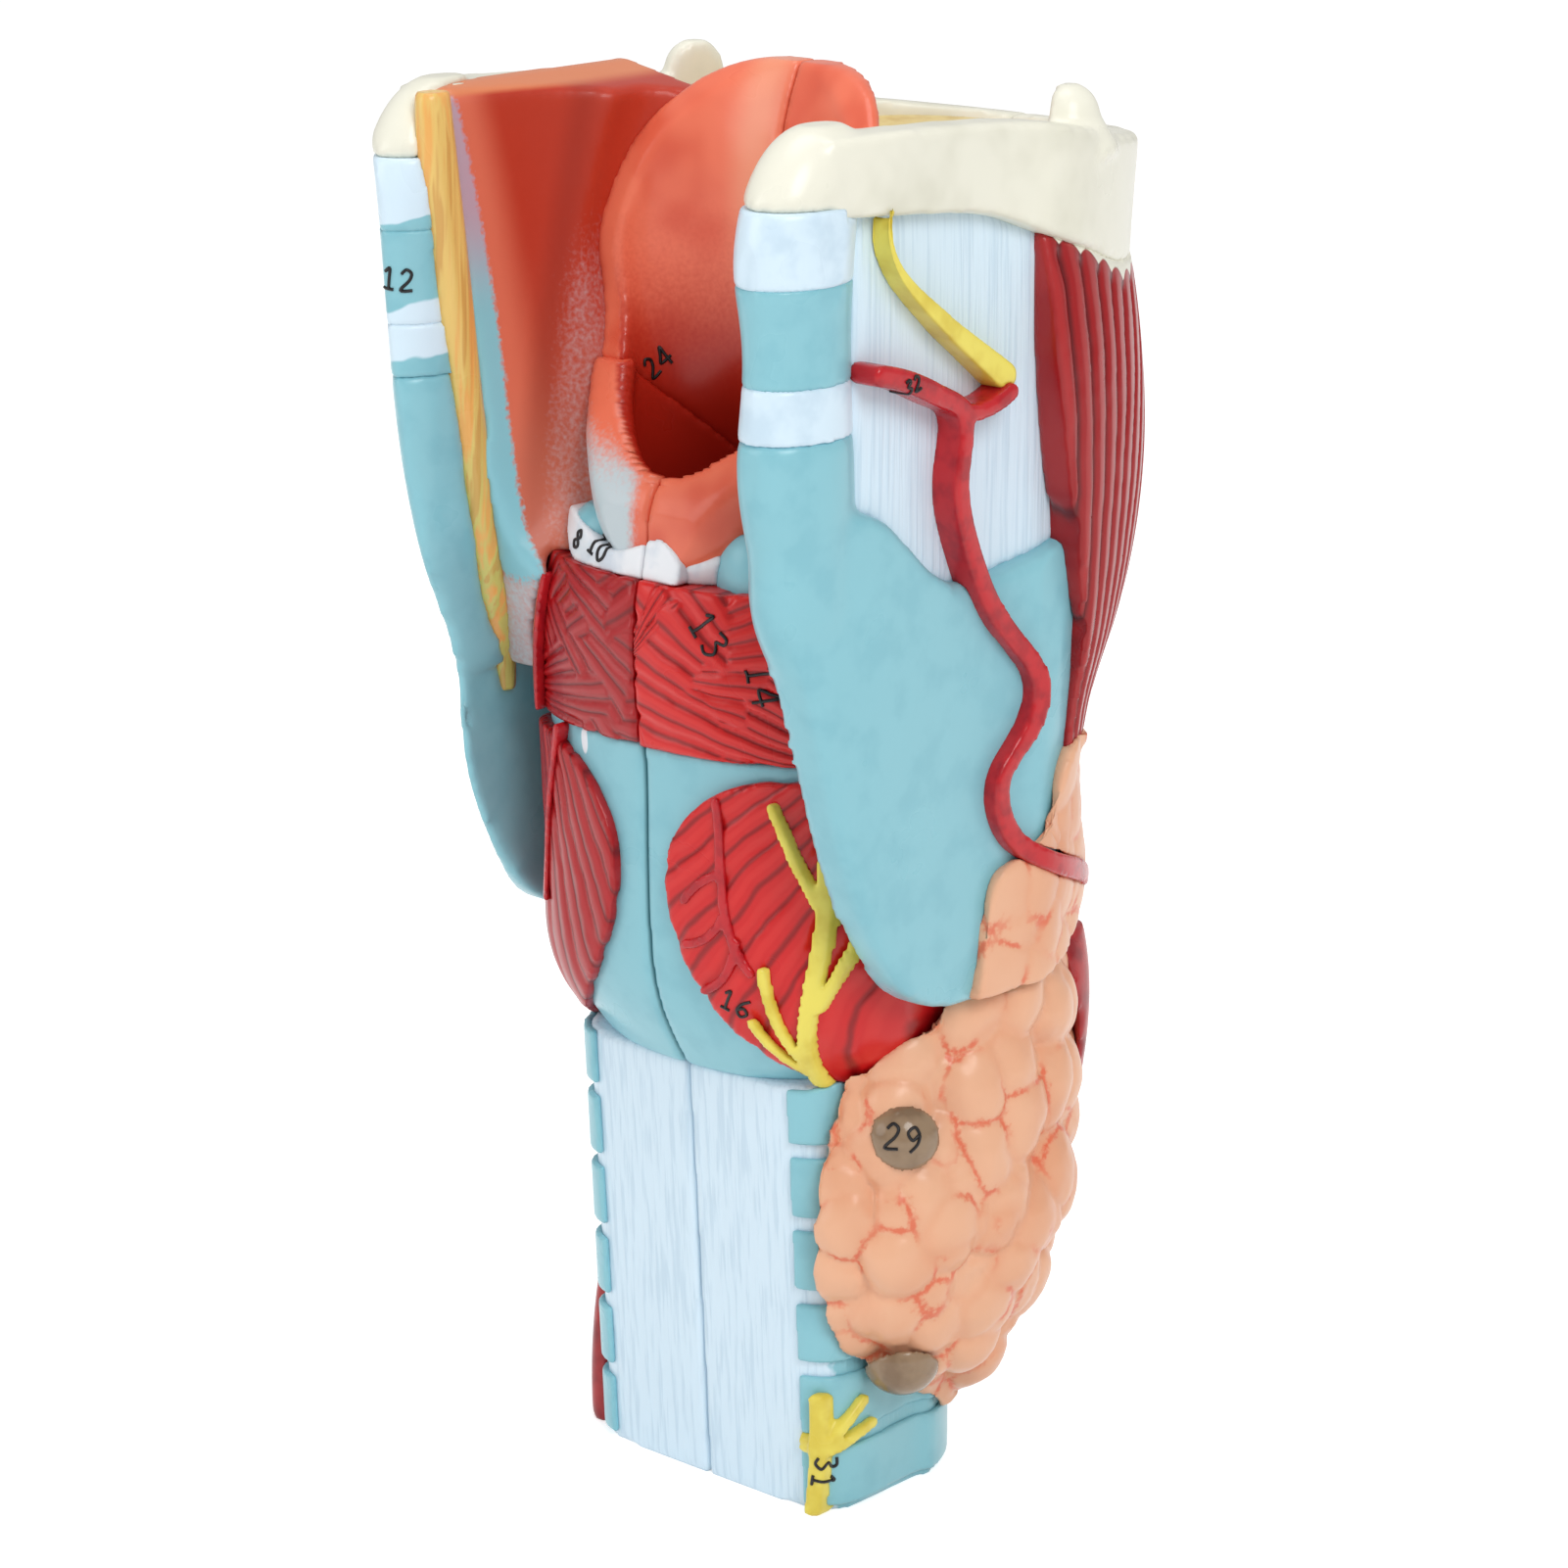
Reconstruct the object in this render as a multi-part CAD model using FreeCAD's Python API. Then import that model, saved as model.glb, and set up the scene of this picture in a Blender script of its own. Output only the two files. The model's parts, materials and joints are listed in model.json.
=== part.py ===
import FreeCAD, Part
import math
import os

os.makedirs("parts", exist_ok=True)

# An enlarged teaching model of the human throat, about twice life size.
# Z is up, +Y is the back of the neck, +X is the body's left side.
# The origin lies on the median plane at the cut foot of the windpipe.
# The model parts at the median plane into two halves, and the right-hand
# wall of the voice box lifts off sideways as a third moulding.

# Heights of the four storeys, from the foot up
windpipe_height = 73.4
cricoid_height = 50.9
arytenoid_height = 25.7
inlet_height = 74.0
storeys = [0.0]
for storey in (windpipe_height, cricoid_height, arytenoid_height, inlet_height):
    storeys.append(storeys[-1] + storey)
storeys.append(storeys[-1] + inlet_height)

# Gaps between the three mouldings
seam_gap = 0.30
wall_gap = 0.30
median = seam_gap / 2.0

# Inner face of the thyroid wall
wall_half_width = 39.0
wall_back = 58.0
wall_front = 49.0
widest_y = -5.0
wall_back_square_share = 4.5
wall_front_square_share = 2.0

# Thickness of what lies on that face
lamina_thickness = 6.0
membrane_thickness = 3.6
hyoid_thickness = 7.0
strap_muscle_thickness = 6.0
strap_rise_share = 0.80
throat_nerve_relief = 1.0
gland_patch_relief = 2.2

# Outer skin of the voice box inside the wall
core_side_gap = 3.0
core_half_width = wall_half_width - core_side_gap
core_back = 34.0
core_front = 34.0
core_square_share = 2.6
muscle_pad_thickness = 1.9

# Windpipe
windpipe_half_width = 26.0
windpipe_front = 20.5
windpipe_back = 19.0
windpipe_back_lean = 4.4
windpipe_side_y = -3.0
windpipe_back_square_share = 7.0
ring_relief = 0.9
ring_count = 6
ring_gap = 2.4
ring_end_y = 15.2
ring_wrap_x = 20.5

# Arytenoid cartilage
pyramid_half_width = 6.8
pyramid_half_depth = 4.8

# Airway and its lining
airway_half_width = 22.0
airway_depth = 24.0
lining_thickness = 4.5
vocal_slit = 1.6
vestibular_slit = 4.2
fold_room_drop = 3.0

# Posterior column of the wall: thyroid horn, ligament and hyoid end
column_x = 38.0
column_half_thickness = 6.6
column_half_depth = 9.4

# Hyoid lesser horn
lesser_horn_foot_radius = 8.0
lesser_horn_tip_radius = 4.6
lesser_horn_height = 5.6
lesser_horn_sink = 1.4

# Thyroid gland and the two small glands on it
gland_half_width = 24.0
gland_half_depth = 30.0
gland_inner_x = 26.5
small_gland_radius = 6.2
small_gland_sink = 3.6

# Locating pins
seam_pin_radius = 2.5
seam_pin_length = 18.0
wall_pin_radius = 2.5
wall_pin_length = 12.0
pin_gap = 0.3

# Cords moulded on the surface
artery_width = 3.0
artery_relief = 2.9
throat_nerve_width = 3.1
recurrent_nerve_width = 1.7
recurrent_nerve_relief = 1.4
lower_nerve_width = 2.3
branch_share = 0.65
artery_branch_share = 0.8
vessel_width = 1.3
vessel_relief = 0.7

overrun = 12.0
crumb_share = 0.02
reach = wall_half_width + wall_back
square_section_points = 18
round_section_points = 12


def height(level):
    """Height of a level: whole numbers are the storeys' floors."""
    floor = min(int(level), len(storeys) - 2)
    return storeys[floor] + (level - floor) * (storeys[floor + 1] - storeys[floor])


def closed_curve(points):
    curve = Part.BSplineCurve()
    curve.interpolate(Points=points, PeriodicFlag=True)
    return Part.Wire([curve.toShape()])


def egg(z, x_mid, y_mid, half_width, back, front, back_square=2.0, front_square=2.0):
    """Closed section whose back and front halves have their own depth and squareness."""
    points = []
    squared = max(back_square, front_square) > 2.0
    section_points = square_section_points if squared else round_section_points
    for step in range(section_points):
        angle = 2.0 * math.pi * step / section_points
        across, along = math.cos(angle), math.sin(angle)
        square = back_square if along > 0 else front_square
        depth = back if along > 0 else front
        x = math.copysign(abs(across) ** (2.0 / square), across) * half_width
        y = math.copysign(abs(along) ** (2.0 / square), along) * depth
        points.append(FreeCAD.Vector(x_mid + x, y_mid + y, z))
    return closed_curve(points)


def loft(wires, straight=False):
    return Part.makeLoft(wires, True, straight)


# Sections of the wall's inner face: level, width, back and front
wall_shares = [
    (0.90, 0.91, 0.88, 0.60), (1.25, 0.94, 0.90, 0.61), (1.60, 0.965, 0.94, 0.61),
    (2.00, 0.985, 0.97, 0.60), (2.50, 1.00, 1.00, 0.72), (3.00, 1.00, 1.00, 0.85),
    (3.35, 1.00, 1.00, 0.90), (3.70, 1.00, 1.00, 0.92), (4.15, 0.99, 0.98, 0.70)]
# The same wall swells under the strap muscle: level and share of its thickness
strap_swell_shares = [0.40, 0.40, 0.60, 0.46, 0.66, 0.80, 0.80, 0.10, 0.0]


def wall(grow, swell=0.0):
    """Solid inside the thyroid wall, grown outwards."""
    wires = []
    for row, swell_share in zip(wall_shares, strap_swell_shares):
        level, width, back, front = row
        out = grow + swell * swell_share
        wires.append(egg(height(level), 0.0, widest_y, wall_half_width * width + out,
                         wall_back * back + out, wall_front * front + out,
                         wall_back_square_share, wall_front_square_share))
    return loft(wires)


# Sections of the voice box's own skin: level, width, back and front
core_shares = [
    (0.88, 0.73, 0.66, 0.76), (0.96, 0.76, 0.70, 0.78), (1.10, 0.92, 0.83, 0.83),
    (1.40, 0.97, 0.94, 0.88), (1.70, 0.965, 0.955, 0.88), (2.00, 0.985, 0.968, 0.90),
    (2.45, 0.985, 1.00, 0.94), (2.90, 0.93, 0.985, 0.98), (3.20, 0.84, 0.93, 1.00)]


def core(grow):
    wires = []
    for level, width, back, front in core_shares:
        wires.append(egg(height(level), 0.0, 0.0, core_half_width * width + grow,
                         core_back * back + grow, core_front * front + grow,
                         core_square_share, 2.0))
    return loft(wires)


# Sections of the airway: level, width, middle, back and front, in shares of its sizes
airway_shares = [
    (0.82, 0.68, -0.04, 0.62, 0.62), (1.00, 0.68, -0.04, 0.62, 0.64),
    (1.33, 0.61, 0.00, 0.66, 0.74),
    (1.62, 0.55, -0.06, 0.78, 0.98), (1.92, 0.55, -0.06, 0.86, 1.00),
    (2.42, 0.59, 0.16, 0.83, 1.00), (3.00, 0.66, 0.42, 0.65, 0.78),
    (3.14, 0.71, 0.50, 0.68, 0.73), (3.27, 0.80, 0.58, 0.56, 0.61),
    (3.41, 0.89, 0.58, 0.54, 0.50), (3.54, 0.98, 0.58, 0.54, 0.49),
    (3.68, 1.00, 0.58, 0.54, 0.48), (3.84, 0.93, 0.50, 0.54, 0.42),
    (4.00, 0.80, 0.33, 0.54, 0.42), (4.12, 0.70, 0.25, 0.54, 0.42)]


def airway(grow):
    wires = []
    for level, width, middle, back, front in airway_shares:
        wires.append(egg(height(level), 0.0, middle * airway_depth,
                         width * airway_half_width + grow, back * airway_depth + grow,
                         front * airway_depth + grow))
    return loft(wires)


def windpipe_bore():
    """Straight bore that meets the airway of the voice box."""
    level, width, middle, back, front = airway_shares[0]
    wires = [egg(z, 0.0, middle * airway_depth, width * airway_half_width,
                 back * airway_depth, front * airway_depth) for z in (-overrun, height(1.2))]
    return loft(wires)


# Sections of the windpipe: level and share of its backward lean
windpipe_shares = [(0.0, 0.0), (0.6, 0.6), (1.2, 1.2)]


def windpipe(grow):
    """Horseshoe front and nearly flat back."""
    wires = []
    for level, lean in windpipe_shares:
        back = windpipe_back - windpipe_side_y + windpipe_back_lean * lean
        wires.append(egg(height(level), 0.0, windpipe_side_y, windpipe_half_width + grow,
                         back + grow, windpipe_front + windpipe_side_y + grow,
                         windpipe_back_square_share, 2.0))
    return loft(wires)


def side_point(share, level):
    """Point of the side view: share of the wall's reach behind or before the axis, and level."""
    return FreeCAD.Vector(median, share * wall_back, height(level))


def smooth_edge(points):
    if len(points) == 2:
        return Part.LineSegment(points[0], points[1]).toShape()
    curve = Part.BSplineCurve()
    curve.interpolate(Points=points)
    return curve.toShape()


def side_zone(lower, upper):
    """Block between two edges of the side view, each given from the front to the back."""
    low = [side_point(*point) for point in lower]
    high = [side_point(*point) for point in upper]
    edges = [smooth_edge(low), smooth_edge([low[-1], high[-1]]),
             smooth_edge(high[::-1]), smooth_edge([high[0], low[0]])]
    face = Part.Face(Part.Wire(edges))
    return face.extrude(FreeCAD.Vector(reach, 0.0, 0.0))


def side_patch(outline):
    """Block with a smooth closed outline in the side view."""
    curve = closed_curve([side_point(*point) for point in outline])
    return Part.Face(curve).extrude(FreeCAD.Vector(reach, 0.0, 0.0))


def back_point(share, level):
    return FreeCAD.Vector(share * core_half_width, 0.0, height(level))


def back_patch(outline):
    """Block with a smooth closed outline in the back view, reaching to the back."""
    curve = closed_curve([back_point(*point) for point in outline])
    return Part.Face(curve).extrude(FreeCAD.Vector(0.0, reach, 0.0))


def band(route, widths, out):
    """Block along a route of one view, with a width at each point and round ends."""
    left, right = [], []
    for place, point in enumerate(route):
        before = route[max(place - 1, 0)]
        after = route[min(place + 1, len(route) - 1)]
        along = (after - before).normalize()
        across = along.cross(out).normalize() * (widths[place] / 2.0)
        left.append(point + across)
        right.append(point - across)
    start_out = (route[0] - route[1]).normalize() * (widths[0] / 2.0)
    end_out = (route[-1] - route[-2]).normalize() * (widths[-1] / 2.0)
    edges = [smooth_edge(left), Part.Arc(left[-1], route[-1] + end_out, right[-1]).toShape(),
             smooth_edge(right[::-1]), Part.Arc(right[0], route[0] + start_out, left[0]).toShape()]
    return Part.Face(Part.Wire(edges)).extrude(out * reach)


def side_band(route_shares, widths):
    return band([side_point(*point) for point in route_shares], widths, FreeCAD.Vector(1, 0, 0))


def back_band(route_shares, widths):
    return band([back_point(*point) for point in route_shares], widths, FreeCAD.Vector(0, 1, 0))


def box(low_x, low_y, low_z, high_x, high_y, high_z):
    return Part.makeBox(high_x - low_x, high_y - low_y, high_z - low_z,
                        FreeCAD.Vector(low_x, low_y, low_z))


def slab(low_level, high_level, low_y=-reach, high_y=reach, low_x=median, high_x=reach):
    return box(low_x, low_y, height(low_level), high_x, high_y, height(high_level))


def join(solids):
    return solids[0].fuse(solids[1:]) if len(solids) > 1 else solids[0]


def keep_large(shape):
    """The solids of a shape, without crumbs that a cut can leave."""
    largest = max(solid.Volume for solid in shape.Solids)
    kept = [solid for solid in shape.Solids if solid.Volume > largest * crumb_share]
    return kept[0] if len(kept) == 1 else Part.makeCompound(kept)


# The skins that most pieces share
wall_inside = wall(0.0)
wall_face = wall(wall_gap)
core_skin = core(0.0)
core_pad_skin = core(muscle_pad_thickness)
air = airway(0.0)
lined_air = airway(lining_thickness)

# Edges of the side view, from front to back: share of the wall's reach and level
cricoid_foot = [(-1.10, 1.10), (-0.45, 1.09), (-0.15, 1.07), (0.20, 1.00), (1.10, 0.97)]
cricoid_crest = [(-1.10, 1.34), (-0.40, 1.36), (-0.15, 1.46), (0.02, 1.68), (0.14, 1.90), (0.21, 2.00)]
fold_rim = [(1.10, 3.02), (0.60, 3.02), (0.55, 3.07), (0.50, 3.17), (0.43, 3.24), (0.36, 3.30),
            (0.29, 3.40), (0.25, 3.50), (0.245, 3.62), (0.20, 3.74), (0.12, 3.86), (0.02, 3.95),
            (-0.05, 4.01)]
muscle_split_y = 0.14 * wall_back


def inlet_cutter():
    """Everything behind and above the rim of the inlet."""
    rim = [side_point(*point) for point in fold_rim]
    top = height(4.3)
    corners = [FreeCAD.Vector(median, rim[-1].y, top), FreeCAD.Vector(median, rim[0].y, top)]
    edges = [smooth_edge(rim), smooth_edge([rim[-1], corners[0]]),
             smooth_edge(corners), smooth_edge([corners[1], rim[0]])]
    cutter = Part.Face(Part.Wire(edges)).extrude(FreeCAD.Vector(reach, 0.0, 0.0))
    cutter.translate(FreeCAD.Vector(-overrun, 0.0, 0.0))
    return cutter


def leaf_cutter():
    """Everything outside the rounded top of the epiglottis, in the back view."""
    tip = [FreeCAD.Vector(-overrun, 0.0, height(4.0)), FreeCAD.Vector(median, 0.0, height(4.0)),
           back_point(0.30, 3.985), back_point(0.52, 3.93), back_point(0.68, 3.82),
           back_point(0.80, 3.66)]
    far = FreeCAD.Vector(reach, 0.0, tip[-1].z)
    high_far = FreeCAD.Vector(reach, 0.0, height(4.4))
    high_near = FreeCAD.Vector(-overrun, 0.0, height(4.4))
    edges = [smooth_edge(tip), smooth_edge([tip[-1], far]), smooth_edge([far, high_far]),
             smooth_edge([high_far, high_near]), smooth_edge([high_near, tip[0]])]
    cutter = Part.Face(Part.Wire(edges)).extrude(FreeCAD.Vector(0.0, 2.0 * reach, 0.0))
    cutter.translate(FreeCAD.Vector(0.0, -reach, 0.0))
    return cutter


def windpipe_wall():
    zone = side_zone([(-1.10, 0.0), (1.10, 0.0)], cricoid_foot)
    return windpipe(0.0).common(zone).cut(windpipe_bore())


def windpipe_rings(zone_top):
    """Half rings round the front and side, a gap apart, whose ends wrap onto the flat back."""
    skin = windpipe(ring_relief).cut(windpipe(0.0)).common(zone_top)
    pitch = windpipe_height / ring_count
    rings = []
    for number in range(ring_count):
        low = number * pitch + ring_gap / 2.0
        high = low + pitch - ring_gap
        side_block = box(median, -reach, low, reach, ring_end_y, high)
        corner_block = box(ring_wrap_x, ring_end_y, low, reach, reach, high)
        rings.extend(skin.common(side_block.fuse(corner_block)).Solids)
    return Part.makeCompound(rings)


def cricoid():
    ends = cricoid_crest + [(1.10, 2.0)]
    low = [side_point(*point) for point in cricoid_foot]
    crest = [side_point(*point) for point in cricoid_crest]
    back = side_point(*ends[-1])
    edges = [smooth_edge(low), smooth_edge([low[-1], back]), smooth_edge([back, crest[-1]]),
             smooth_edge(crest[::-1]), smooth_edge([crest[0], low[0]])]
    zone = Part.Face(Part.Wire(edges)).extrude(FreeCAD.Vector(reach, 0.0, 0.0))
    return core_skin.common(zone).cut(lined_air)


def vocal_muscle(around):
    """Muscle from the cricoid's arch to the false cords, filling out to the wall in front."""
    crest = [side_point(*point) for point in cricoid_crest]
    stair = [crest[-1], side_point(0.14, 2.00), side_point(0.14, 2.18), side_point(-1.10, 2.18), crest[0]]
    edges = [smooth_edge(crest)]
    edges += [smooth_edge([stair[place], stair[place + 1]]) for place in range(len(stair) - 1)]
    block = Part.Face(Part.Wire(edges)).extrude(FreeCAD.Vector(reach, 0.0, 0.0))
    muscle = wall_inside.common(block).cut(lined_air)
    for neighbour in around:
        muscle = muscle.cut(neighbour)
    return muscle


# Sections of the arytenoid: level, width and depth
pyramid_shares = [
    (2.00, 1.00, 1.00), (2.60, 0.92, 0.95), (3.00, 0.86, 0.90), (3.07, 0.78, 0.80), (3.11, 0.40, 0.42)]
pyramid_across_share, pyramid_behind_share = 0.42, 0.74


def arytenoid():
    """Small pyramid inside the muscle, its rounded top standing above it."""
    middle_x, middle_y = pyramid_across_share * core_half_width, pyramid_behind_share * core_back
    wires = []
    for level, width, depth in pyramid_shares:
        half_deep = pyramid_half_depth * depth
        wires.append(egg(height(level), middle_x, middle_y, pyramid_half_width * width,
                         half_deep, half_deep))
    return loft(wires).cut(lined_air)


def posterior_muscle(pyramid):
    block = slab(2.00, 3.00, low_y=muscle_split_y)
    skin = core(muscle_pad_thickness / 2.0)
    return skin.common(wall_inside).common(block).cut(lined_air).cut(pyramid)


crescent_front_share = 0.62
left_crescent = [(-0.10, 2.98), (0.20, 2.97), (0.42, 2.99), (0.56, 3.04), (0.60, 3.09),
                 (0.50, 3.085), (0.34, 3.055), (0.14, 3.045), (-0.10, 3.05)]
right_crescent = [(-0.10, 2.98), (0.08, 2.97), (0.17, 2.98), (0.20, 3.03), (0.15, 3.065), (-0.10, 3.06)]


def corniculate(pyramid, outline):
    """White crescent along the top of the muscle."""
    block = slab(3.00, 3.12, low_y=crescent_front_share * core_back)
    return core_skin.common(block).common(back_patch(outline)).cut(lined_air).cut(pyramid)


cricoid_muscle_outline = [
    (0.15, 1.60), (0.22, 1.77), (0.42, 1.90), (0.62, 1.95), (0.90, 1.93), (1.12, 1.80),
    (1.12, 1.45), (0.95, 1.10), (0.78, 0.96), (0.66, 1.00), (0.50, 1.10), (0.34, 1.24), (0.20, 1.42)]


def cricoid_muscle():
    pad = core_pad_skin.common(back_patch(cricoid_muscle_outline)).common(slab(0.9, 2.0))
    return pad.common(wall_inside).cut(core_skin)


def lining():
    """Mucous lining from the cricoid up to the false cords."""
    zone = side_zone(cricoid_foot, [(-1.10, 2.18), (1.10, 2.18)])
    return lined_air.common(zone).cut(air)


# The opening between two folds, in shares of the airway
fold_room_width_share, fold_room_middle_share = 0.75, -0.06
fold_room_back_share, fold_room_front_share = 0.72, 0.90


def slit_fold(low_level, edge_level, top_level, slit):
    """Fold that narrows the airway to a slit, with its thin edge towards the middle."""
    wires = []
    low, edge, top = height(low_level), height(edge_level), height(top_level)
    wide = airway_half_width * fold_room_width_share
    for z, half_width in ((low - fold_room_drop, wide), (edge, slit), (top + overrun, slit)):
        wires.append(egg(z, 0.0, fold_room_middle_share * airway_depth, half_width,
                         fold_room_back_share * airway_depth, fold_room_front_share * airway_depth))
    block = slab(low_level, top_level)
    return air.common(block).cut(loft(wires[:2])).cut(loft(wires[1:]))


def rimmed_tube():
    """The funnel of the inlet: epiglottis in front, the two folds at its sides."""
    tube = lined_air.common(slab(2.18, 4.1)).cut(air)
    return tube.cut(inlet_cutter()).cut(leaf_cutter())


leaf_foot = [(-1.10, 2.70), (-0.20, 3.02), (0.10, 3.26), (0.36, 3.42), (1.10, 3.60)]


def epiglottis(tube):
    return tube.common(side_zone(leaf_foot, [(-1.10, 4.3), (1.10, 4.3)]))


def inlet_fold(tube):
    return tube.common(side_zone([(-1.10, 2.18), (1.10, 2.18)], leaf_foot))


def fat_body():
    """Fat in front of the epiglottis, sloping down from it to the hyoid."""
    lower = [(-1.10, 2.18), (0.14, 2.18)]
    upper = [(-1.10, 3.80), (-0.70, 3.80), (-0.35, 3.76), (-0.05, 3.74)]
    low = [side_point(*point) for point in lower]
    high = [side_point(*point) for point in upper]
    shoulder = [side_point(0.14, 3.00), side_point(-0.04, 3.10)]
    edges = [smooth_edge(low), smooth_edge([low[-1], shoulder[0]]), smooth_edge(shoulder),
             smooth_edge([shoulder[1], high[-1]]), smooth_edge(high[::-1]),
             smooth_edge([high[0], low[0]])]
    block = Part.Face(Part.Wire(edges)).extrude(FreeCAD.Vector(reach, 0.0, 0.0))
    return wall_inside.common(block).cut(lined_air)


def quadrangular_membrane(pyramid, white_cap):
    """Thin sheet outside the fold, from the arytenoid to the epiglottis."""
    sheet = airway(lining_thickness + membrane_thickness / 2.0)
    zone = side_zone([(-0.03, 3.0), (0.60, 3.0)], [(-0.03, 3.60), (0.16, 3.40), (0.34, 3.20), (0.60, 2.99)])
    return sheet.common(wall_inside).common(zone).cut(lined_air).cut(pyramid).cut(white_cap)


def column(low_level, high_level, grow=0.0):
    """Rounded hind border of the wall, above the lamina."""
    tiers = [(2.20, 0.50, 0.20, 0.60), (2.55, 0.575, 0.45, 0.80), (2.80, 0.625, 0.66, 0.88),
             (3.00, 0.66, 0.84, 0.93), (3.20, 0.69, 0.94, 0.97),
             (3.40, 0.705, 0.98, 0.98), (3.56, 0.702, 0.92, 0.93), (3.66, 0.710, 1.00, 0.98),
             (3.80, 0.70, 1.04, 1.00), (3.90, 0.66, 0.92, 0.90), (3.95, 0.63, 0.70, 0.70),
             (3.975, 0.62, 0.30, 0.32)]
    wires = []
    for level, middle, thick, deep in tiers:
        half_deep = column_half_depth * deep + grow
        wires.append(egg(height(level), column_x, middle * wall_back,
                         column_half_thickness * thick + grow, half_deep, half_deep))
    return loft(wires).common(slab(low_level, high_level))


horn_top, bead_low, bead_high, hyoid_end_low = 3.385, 3.49, 3.685, 3.83

lamina_low_edge = [(-1.10, 1.66), (-0.90, 1.62), (-0.66, 1.52), (-0.40, 1.36), (-0.22, 1.27),
                   (0.00, 1.245), (0.16, 1.25), (0.30, 1.30), (0.42, 1.42)]
lamina_back_edge = [(0.42, 1.42), (0.50, 1.55), (0.585, 1.76), (0.66, 2.05), (0.73, 2.62),
                    (0.77, 2.95), (0.76, 3.22)]
lamina_top_edge = [(-1.10, 3.14), (-0.98, 3.13), (-0.86, 3.21), (-0.60, 3.16), (-0.28, 3.09),
                   (0.00, 3.035), (0.22, 3.035), (0.38, 3.12), (0.50, 3.20), (0.58, 3.22)]


def lamina():
    low = [side_point(*point) for point in lamina_low_edge]
    back = [side_point(*point) for point in lamina_back_edge]
    top = [side_point(*point) for point in lamina_top_edge]
    edges = [smooth_edge(low), smooth_edge(back), smooth_edge([back[-1], top[-1]]),
             smooth_edge(top[::-1]), smooth_edge([top[0], low[0]])]
    block = Part.Face(Part.Wire(edges)).extrude(FreeCAD.Vector(reach, 0.0, 0.0))
    plate = wall(wall_gap + lamina_thickness).common(block).cut(wall_face)
    horn = column(2.20, horn_top).cut(core(wall_gap))
    return join([plate, horn])


hyoid_plate_back_share, lesser_horn_place_share, lesser_horn_level = 0.68, -0.34, 3.84


def hyoid():
    low = [(-1.10, 3.56), (-0.80, 3.57), (-0.62, 3.59), (-0.46, 3.613), (-0.31, 3.655), (-0.14, 3.70),
           (0.02, 3.75), (0.16, 3.775), (0.38, 3.795), (0.64, 3.81), (0.90, 3.82)]
    top = [(-1.10, 3.80), (-0.80, 3.83), (-0.45, 3.87), (-0.15, 3.92), (0.12, 3.94), (0.50, 3.955),
           (0.74, 3.95)]
    plate = wall(wall_gap + hyoid_thickness).common(side_zone(low, top)).cut(wall_face)
    plate = plate.common(slab(3.0, 4.2, high_y=hyoid_plate_back_share * wall_back))
    horn_x = wall_half_width + wall_gap - lesser_horn_sink
    foot = FreeCAD.Vector(horn_x, lesser_horn_place_share * wall_back, height(lesser_horn_level))
    lesser = Part.makeCone(lesser_horn_foot_radius, lesser_horn_tip_radius, lesser_horn_height, foot)
    knob = Part.makeSphere(lesser_horn_tip_radius, foot + FreeCAD.Vector(0, 0, lesser_horn_height))
    lesser = join([lesser, knob]).cut(wall_face)
    return join([plate, column(hyoid_end_low, 4.0), lesser])


def hyoid_membrane(around):
    """Thin sheet from the lamina up to the hyoid."""
    top = [(-1.10, 3.68), (-0.62, 3.75), (-0.33, 3.80), (-0.10, 3.88), (0.10, 3.92), (0.66, 3.92)]
    zone = side_zone([(-1.10, 3.0), (0.66, 3.0)], top)
    sheet = wall(wall_gap + membrane_thickness).common(zone).cut(wall_face)
    for neighbour in around:
        sheet = sheet.cut(neighbour)
    return sheet


strap_outline = [
    (-0.10, 3.72), (-0.11, 3.40), (-0.16, 3.15), (-0.235, 2.65), (-0.25, 2.10), (-0.27, 1.86),
    (-0.34, 1.92), (-0.48, 2.35), (-0.64, 2.80), (-0.78, 3.10), (-0.84, 3.35), (-0.80, 3.58),
    (-0.62, 3.66), (-0.36, 3.71)]


def strap_muscle(around):
    skin = wall(wall_gap + lamina_thickness * strap_rise_share, strap_muscle_thickness)
    muscle = skin.common(side_patch(strap_outline)).cut(wall_face)
    for neighbour in around:
        muscle = muscle.cut(neighbour)
    return muscle


def ring_muscle():
    """Muscle between the cricoid's arch and the wall's lower edge."""
    zone = side_patch([(-0.60, 1.20), (-0.40, 1.12), (-0.10, 1.12), (0.05, 1.22), (0.04, 1.36),
                       (-0.10, 1.42), (-0.40, 1.50), (-0.60, 1.56)])
    return wall_inside.common(zone).cut(core_skin).cut(core_pad_skin)


# The thyroid gland's own sections: level, middle across, middle deep, width, depth
gland_shares = [
    (0.15, 1.06, -0.30, 0.12, 0.10), (0.25, 1.01, -0.23, 0.42, 0.42), (0.35, 0.96, -0.147, 0.667, 0.667),
    (0.45, 0.97, -0.14, 0.785, 0.827), (0.58, 1.00, -0.137, 0.89, 0.94), (0.73, 1.00, -0.147, 0.89, 0.967),
    (0.88, 1.00, -0.20, 0.86, 0.947), (1.10, 1.00, -0.267, 0.833, 0.80), (1.40, 0.917, -0.40, 0.75, 0.667)]


def gland_form(grow):
    wires = []
    for level, middle_x, middle_y, width, depth in gland_shares:
        half_deep = gland_half_depth * depth + grow
        wires.append(egg(height(level), middle_x * gland_half_width, middle_y * gland_half_depth,
                         gland_half_width * width + grow, half_deep, half_deep))
    return loft(wires)


gland_room_corner = (0.48, 1.33)


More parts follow.
